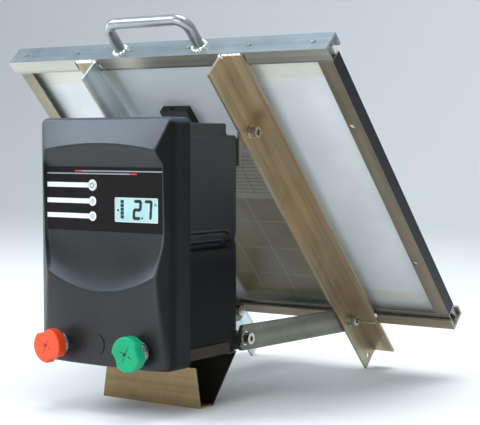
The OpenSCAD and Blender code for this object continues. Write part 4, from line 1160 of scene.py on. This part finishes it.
for name, place in (("red_stud_thread", RED_X), ("green_stud_thread", GREEN_X)):
    thread(name, place, KNOB_Z, APRON_Y - 8.6, APRON_Y - 2, 6.9)


# ---------- panel details ----------

def panel_piece(name, boxes, material, slot):
    """Boxes given as x0, x1, u0, u1, w0, w1 in the panel's plane."""
    parts = []
    for x0, x1, u0, u1, w0, w1 in boxes:
        corners = [panel_point(x, u, w) / MM for x in (x0, x1) for u in (u0, u1) for w in (w0, w1)]
        parts.append(([tuple(c) for c in corners], box_part((0, 0, 0), (1, 1, 1))[1]))
    return mesh_object(name, *merge(parts), "panel", MATERIALS[material], False, slot)


BACK_W = panel_span("backsheet")[1][1]


def rating_label():
    """A paper label with ruled blank lines."""
    x0, x1, u0, u1 = -20, 72, 150, 240
    top, raised = BACK_W + 0.15, BACK_W + 0.22
    panel_piece("rating_label", [(x0, x1, u0, u1, BACK_W, top)], "label", "backsheet_film")
    panel_piece("rating_label_head", [(x0 + 3, x1 - 3, u0 + 4, u0 + 13, top, raised)], "label_head", "backsheet_film")
    lines = [(x0 + 3, x1 - 3, u, u + 0.6, top, raised) for u in range(u0 + 19, u1 - 6, 6)]
    lines += [(x, x + 0.5, u0 + 19, u1 - 11, top, raised) for x in (x0 + 3, x0 + 40, x1 - 3)]
    panel_piece("rating_label_rules", lines, "label_ink", "backsheet_film")


rating_label()


def junction_lid():
    """A thin dark bar across the junction box's lid: painted shade standing for a slit."""
    (u0, _), (_, w1) = panel_span("junction_box")
    lo, hi = span("junction_box")
    middle = (lo.x + hi.x) / 2
    panel_piece("junction_box_slit", [(middle - 9, middle + 9, u0 + 12, u0 + 14, w1, w1 + 0.1)], "ink_dark",
                "fascia_film")


junction_lid()


def lump(u, w, x, radii, seed):
    """A bright lump of weld: a ball squashed to three radii, with a wavy surface."""
    steps, rows = 20, 12
    vertices = []
    for row in range(rows + 1):
        a = math.pi * row / rows
        for k in range(steps):
            b = 2 * math.pi * k / steps
            wave = 1 + 0.10 * math.sin(3 * b + seed) * math.sin(2 * a) + 0.06 * math.sin(7 * b + 2 * seed + 4 * a)
            vertices.append(tuple(panel_point(x + radii[0] * wave * math.sin(a) * math.cos(b),
                                              u + radii[1] * wave * math.sin(a) * math.sin(b),
                                              w + radii[2] * wave * math.cos(a)) / MM))
    return vertices, wrap_faces(rows, steps)


def weld_collar(x, w, radius, tube, seed):
    """A rippled weld bead around a handle's leg, on the channel's web."""
    steps, rows = 72, 10
    vertices = []
    for k in range(steps):
        a = 2 * math.pi * k / steps
        ripple = 1 + 0.16 * math.sin(15 * a + seed) + 0.18 * math.sin(3 * a + 2 * seed)
        for row in range(rows):
            b = 2 * math.pi * row / rows
            reach = radius + tube * ripple * math.cos(b)
            vertices.append(tuple(panel_point(x + reach * math.cos(a), -tube * ripple * math.sin(b) * 1.1,
                                              w + reach * math.sin(a)) / MM))
    faces = [[k * rows + row, k * rows + (row + 1) % rows, ((k + 1) % steps) * rows + (row + 1) % rows,
              ((k + 1) % steps) * rows + row] for k in range(steps) for row in range(rows)]
    return vertices, faces


def welds():
    """Collars round the handle's legs, and lumps where both rails meet the channels."""
    low, high = span("carry_handle")
    _, (handle_w0, handle_w1) = panel_span("carry_handle")
    bar_half = (high.x - low.x) / 2
    leg_r = (handle_w1 - handle_w0) / 2
    w = (handle_w0 + handle_w1) / 2
    parts = [weld_collar(side * (bar_half - leg_r), w, leg_r + 0.9, 2.5, seed)
             for side, seed in ((-1, 1.0), (1, 2.6))]
    rail_lo, rail_hi = span("right_rail")
    # Each lump's place down the slope, backwards and across, its radii, and its seeds left and right
    lumps = [(13.0, 24.5, rail_lo.x - 2.0, (2.6, 5.5, 3.4), (0.4, 3.1)),
             (4.5, 26.8, rail_lo.x + 1.5, (3.2, 3.4, 2.2), (1.4, 5.1)),
             (428.0, 26.4, rail_hi.x + 1.0, (3.0, 3.6, 2.6), (2.2, 0.9))]
    for u, back, across, radii, seeds in lumps:
        parts += [lump(u, back, side * across, radii, seed) for side, seed in zip((-1, 1), seeds)]
    mesh_object("weld_collars", *merge(parts), "panel", MATERIALS["weld"], True, "channel_aluminium")


welds()

for name in ("top_channel", "bottom_channel", "left_rail", "right_rail", "left_stay", "right_stay",
             "frame_left", "frame_right", "frame_top", "frame_bottom", "foot_bracket", "tray",
             "pivot_brackets", "stay_brackets"):
    soft_edges(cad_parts[name], 0.4, 2, 40)
for name in ("pivot_bolts", "stay_front_bolts", "stay_rail_bolts", "pivot_nuts", "stay_front_nuts",
             "left_stay_nut", "right_stay_nut", "terminal_washers"):
    soft_edges(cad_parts[name], 0.5, 3, 40)
soft_edges(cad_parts["junction_box"], 0.8, 3, 40)


# ---------- stage ----------

def build_stage():
    """Pale floor that curves up into a backdrop, far enough back to stay behind a camera at the rear."""
    width, front, back, radius, height = 30.0, -30.0, 3.7, 0.8, 3.5
    profile = [(front, 0.0), (back - radius, 0.0)]
    profile += [(back - radius + radius * math.sin(math.radians(a)), radius - radius * math.cos(math.radians(a)))
                for a in range(6, 91, 6)]
    profile.append((back, height))
    vertices = [(x / MM, y / MM, z / MM) for y, z in profile for x in (-width, width)]
    faces = [[2 * k, 2 * k + 1, 2 * k + 3, 2 * k + 2] for k in range(len(profile) - 1)]
    mesh = bpy.data.meshes.new("floor")
    mesh.from_pydata([Vector(v) * MM for v in vertices], [], faces)
    obj = bpy.data.objects.new("floor", mesh)
    bpy.context.scene.collection.objects.link(obj)
    for polygon in mesh.polygons:
        polygon.use_smooth = True
    obj.data.materials.append(new_material("floor_pale", (0.86, 0.86, 0.85), 0.75))


def area_light(name, place, target, size, power, colour):
    data = bpy.data.lights.new(name, "AREA")
    data.shape = "RECTANGLE"
    data.size, data.size_y = size
    data.energy = power
    data.color = colour
    obj = bpy.data.objects.new(name, data)
    bpy.context.scene.collection.objects.link(obj)
    obj.location = place
    obj.rotation_euler = (Vector(target) - Vector(place)).to_track_quat("-Z", "Y").to_euler()


def build_light():
    world = bpy.data.worlds.new("studio")
    bpy.context.scene.world = world
    world.use_nodes = True
    tree = world.node_tree
    place = tree.nodes.new("ShaderNodeTexCoord")
    parts = tree.nodes.new("ShaderNodeSeparateXYZ")
    tones = tree.nodes.new("ShaderNodeValToRGB")
    tree.links.new(place.outputs["Generated"], parts.inputs[0])
    tree.links.new(parts.outputs["Z"], tones.inputs["Fac"])
    elements = tones.color_ramp.elements
    sky = [(0.0, (0.17, 0.17, 0.165)), (0.12, (0.22, 0.22, 0.215)), (0.45, (0.50, 0.58, 0.66)),
           (1.0, (0.80, 0.90, 1.0))]
    while len(elements) < len(sky):
        elements.new(0.5)
    for element, (position, colour) in zip(elements, sky):
        element.position = position
        element.color = (*colour, 1)
    background = tree.nodes["Background"]
    tree.links.new(tones.outputs["Color"], background.inputs["Color"])
    background.inputs["Strength"].default_value = 0.9
    middle = (0, 0.0, 0.25)
    area_light("key", (-1.40, -1.35, 1.60), middle, (1.3, 0.9), 36, (0.80, 0.91, 1.0))
    area_light("top", (0.2, 0.1, 2.4), middle, (1.8, 1.4), 42, (0.95, 0.98, 1.0))
    area_light("fill", (-0.2, -2.2, 0.35), middle, (1.2, 0.6), 11, (1.0, 0.95, 0.88))
    area_light("left", (-2.0, -0.35, 0.55), middle, (0.35, 1.2), 9, (0.85, 0.93, 1.0))
    scene = bpy.context.scene
    scene.view_settings.view_transform = "Standard"


def build_camera():
    """The photograph's viewpoint: a long lens, from the front right, looking slightly down."""
    place, look_down, swing, lens = (0.9199, -1.1744, 0.2890), 3.0, 34.52, 100.46
    data = bpy.data.cameras.new("camera")
    data.lens = lens
    data.sensor_width = 36
    data.clip_end = 20
    obj = bpy.data.objects.new("camera", data)
    bpy.context.scene.collection.objects.link(obj)
    obj.location = place
    obj.rotation_euler = (math.radians(90 - look_down), 0, math.radians(swing))
    bpy.context.scene.camera = obj


build_stage()
build_light()
build_camera()
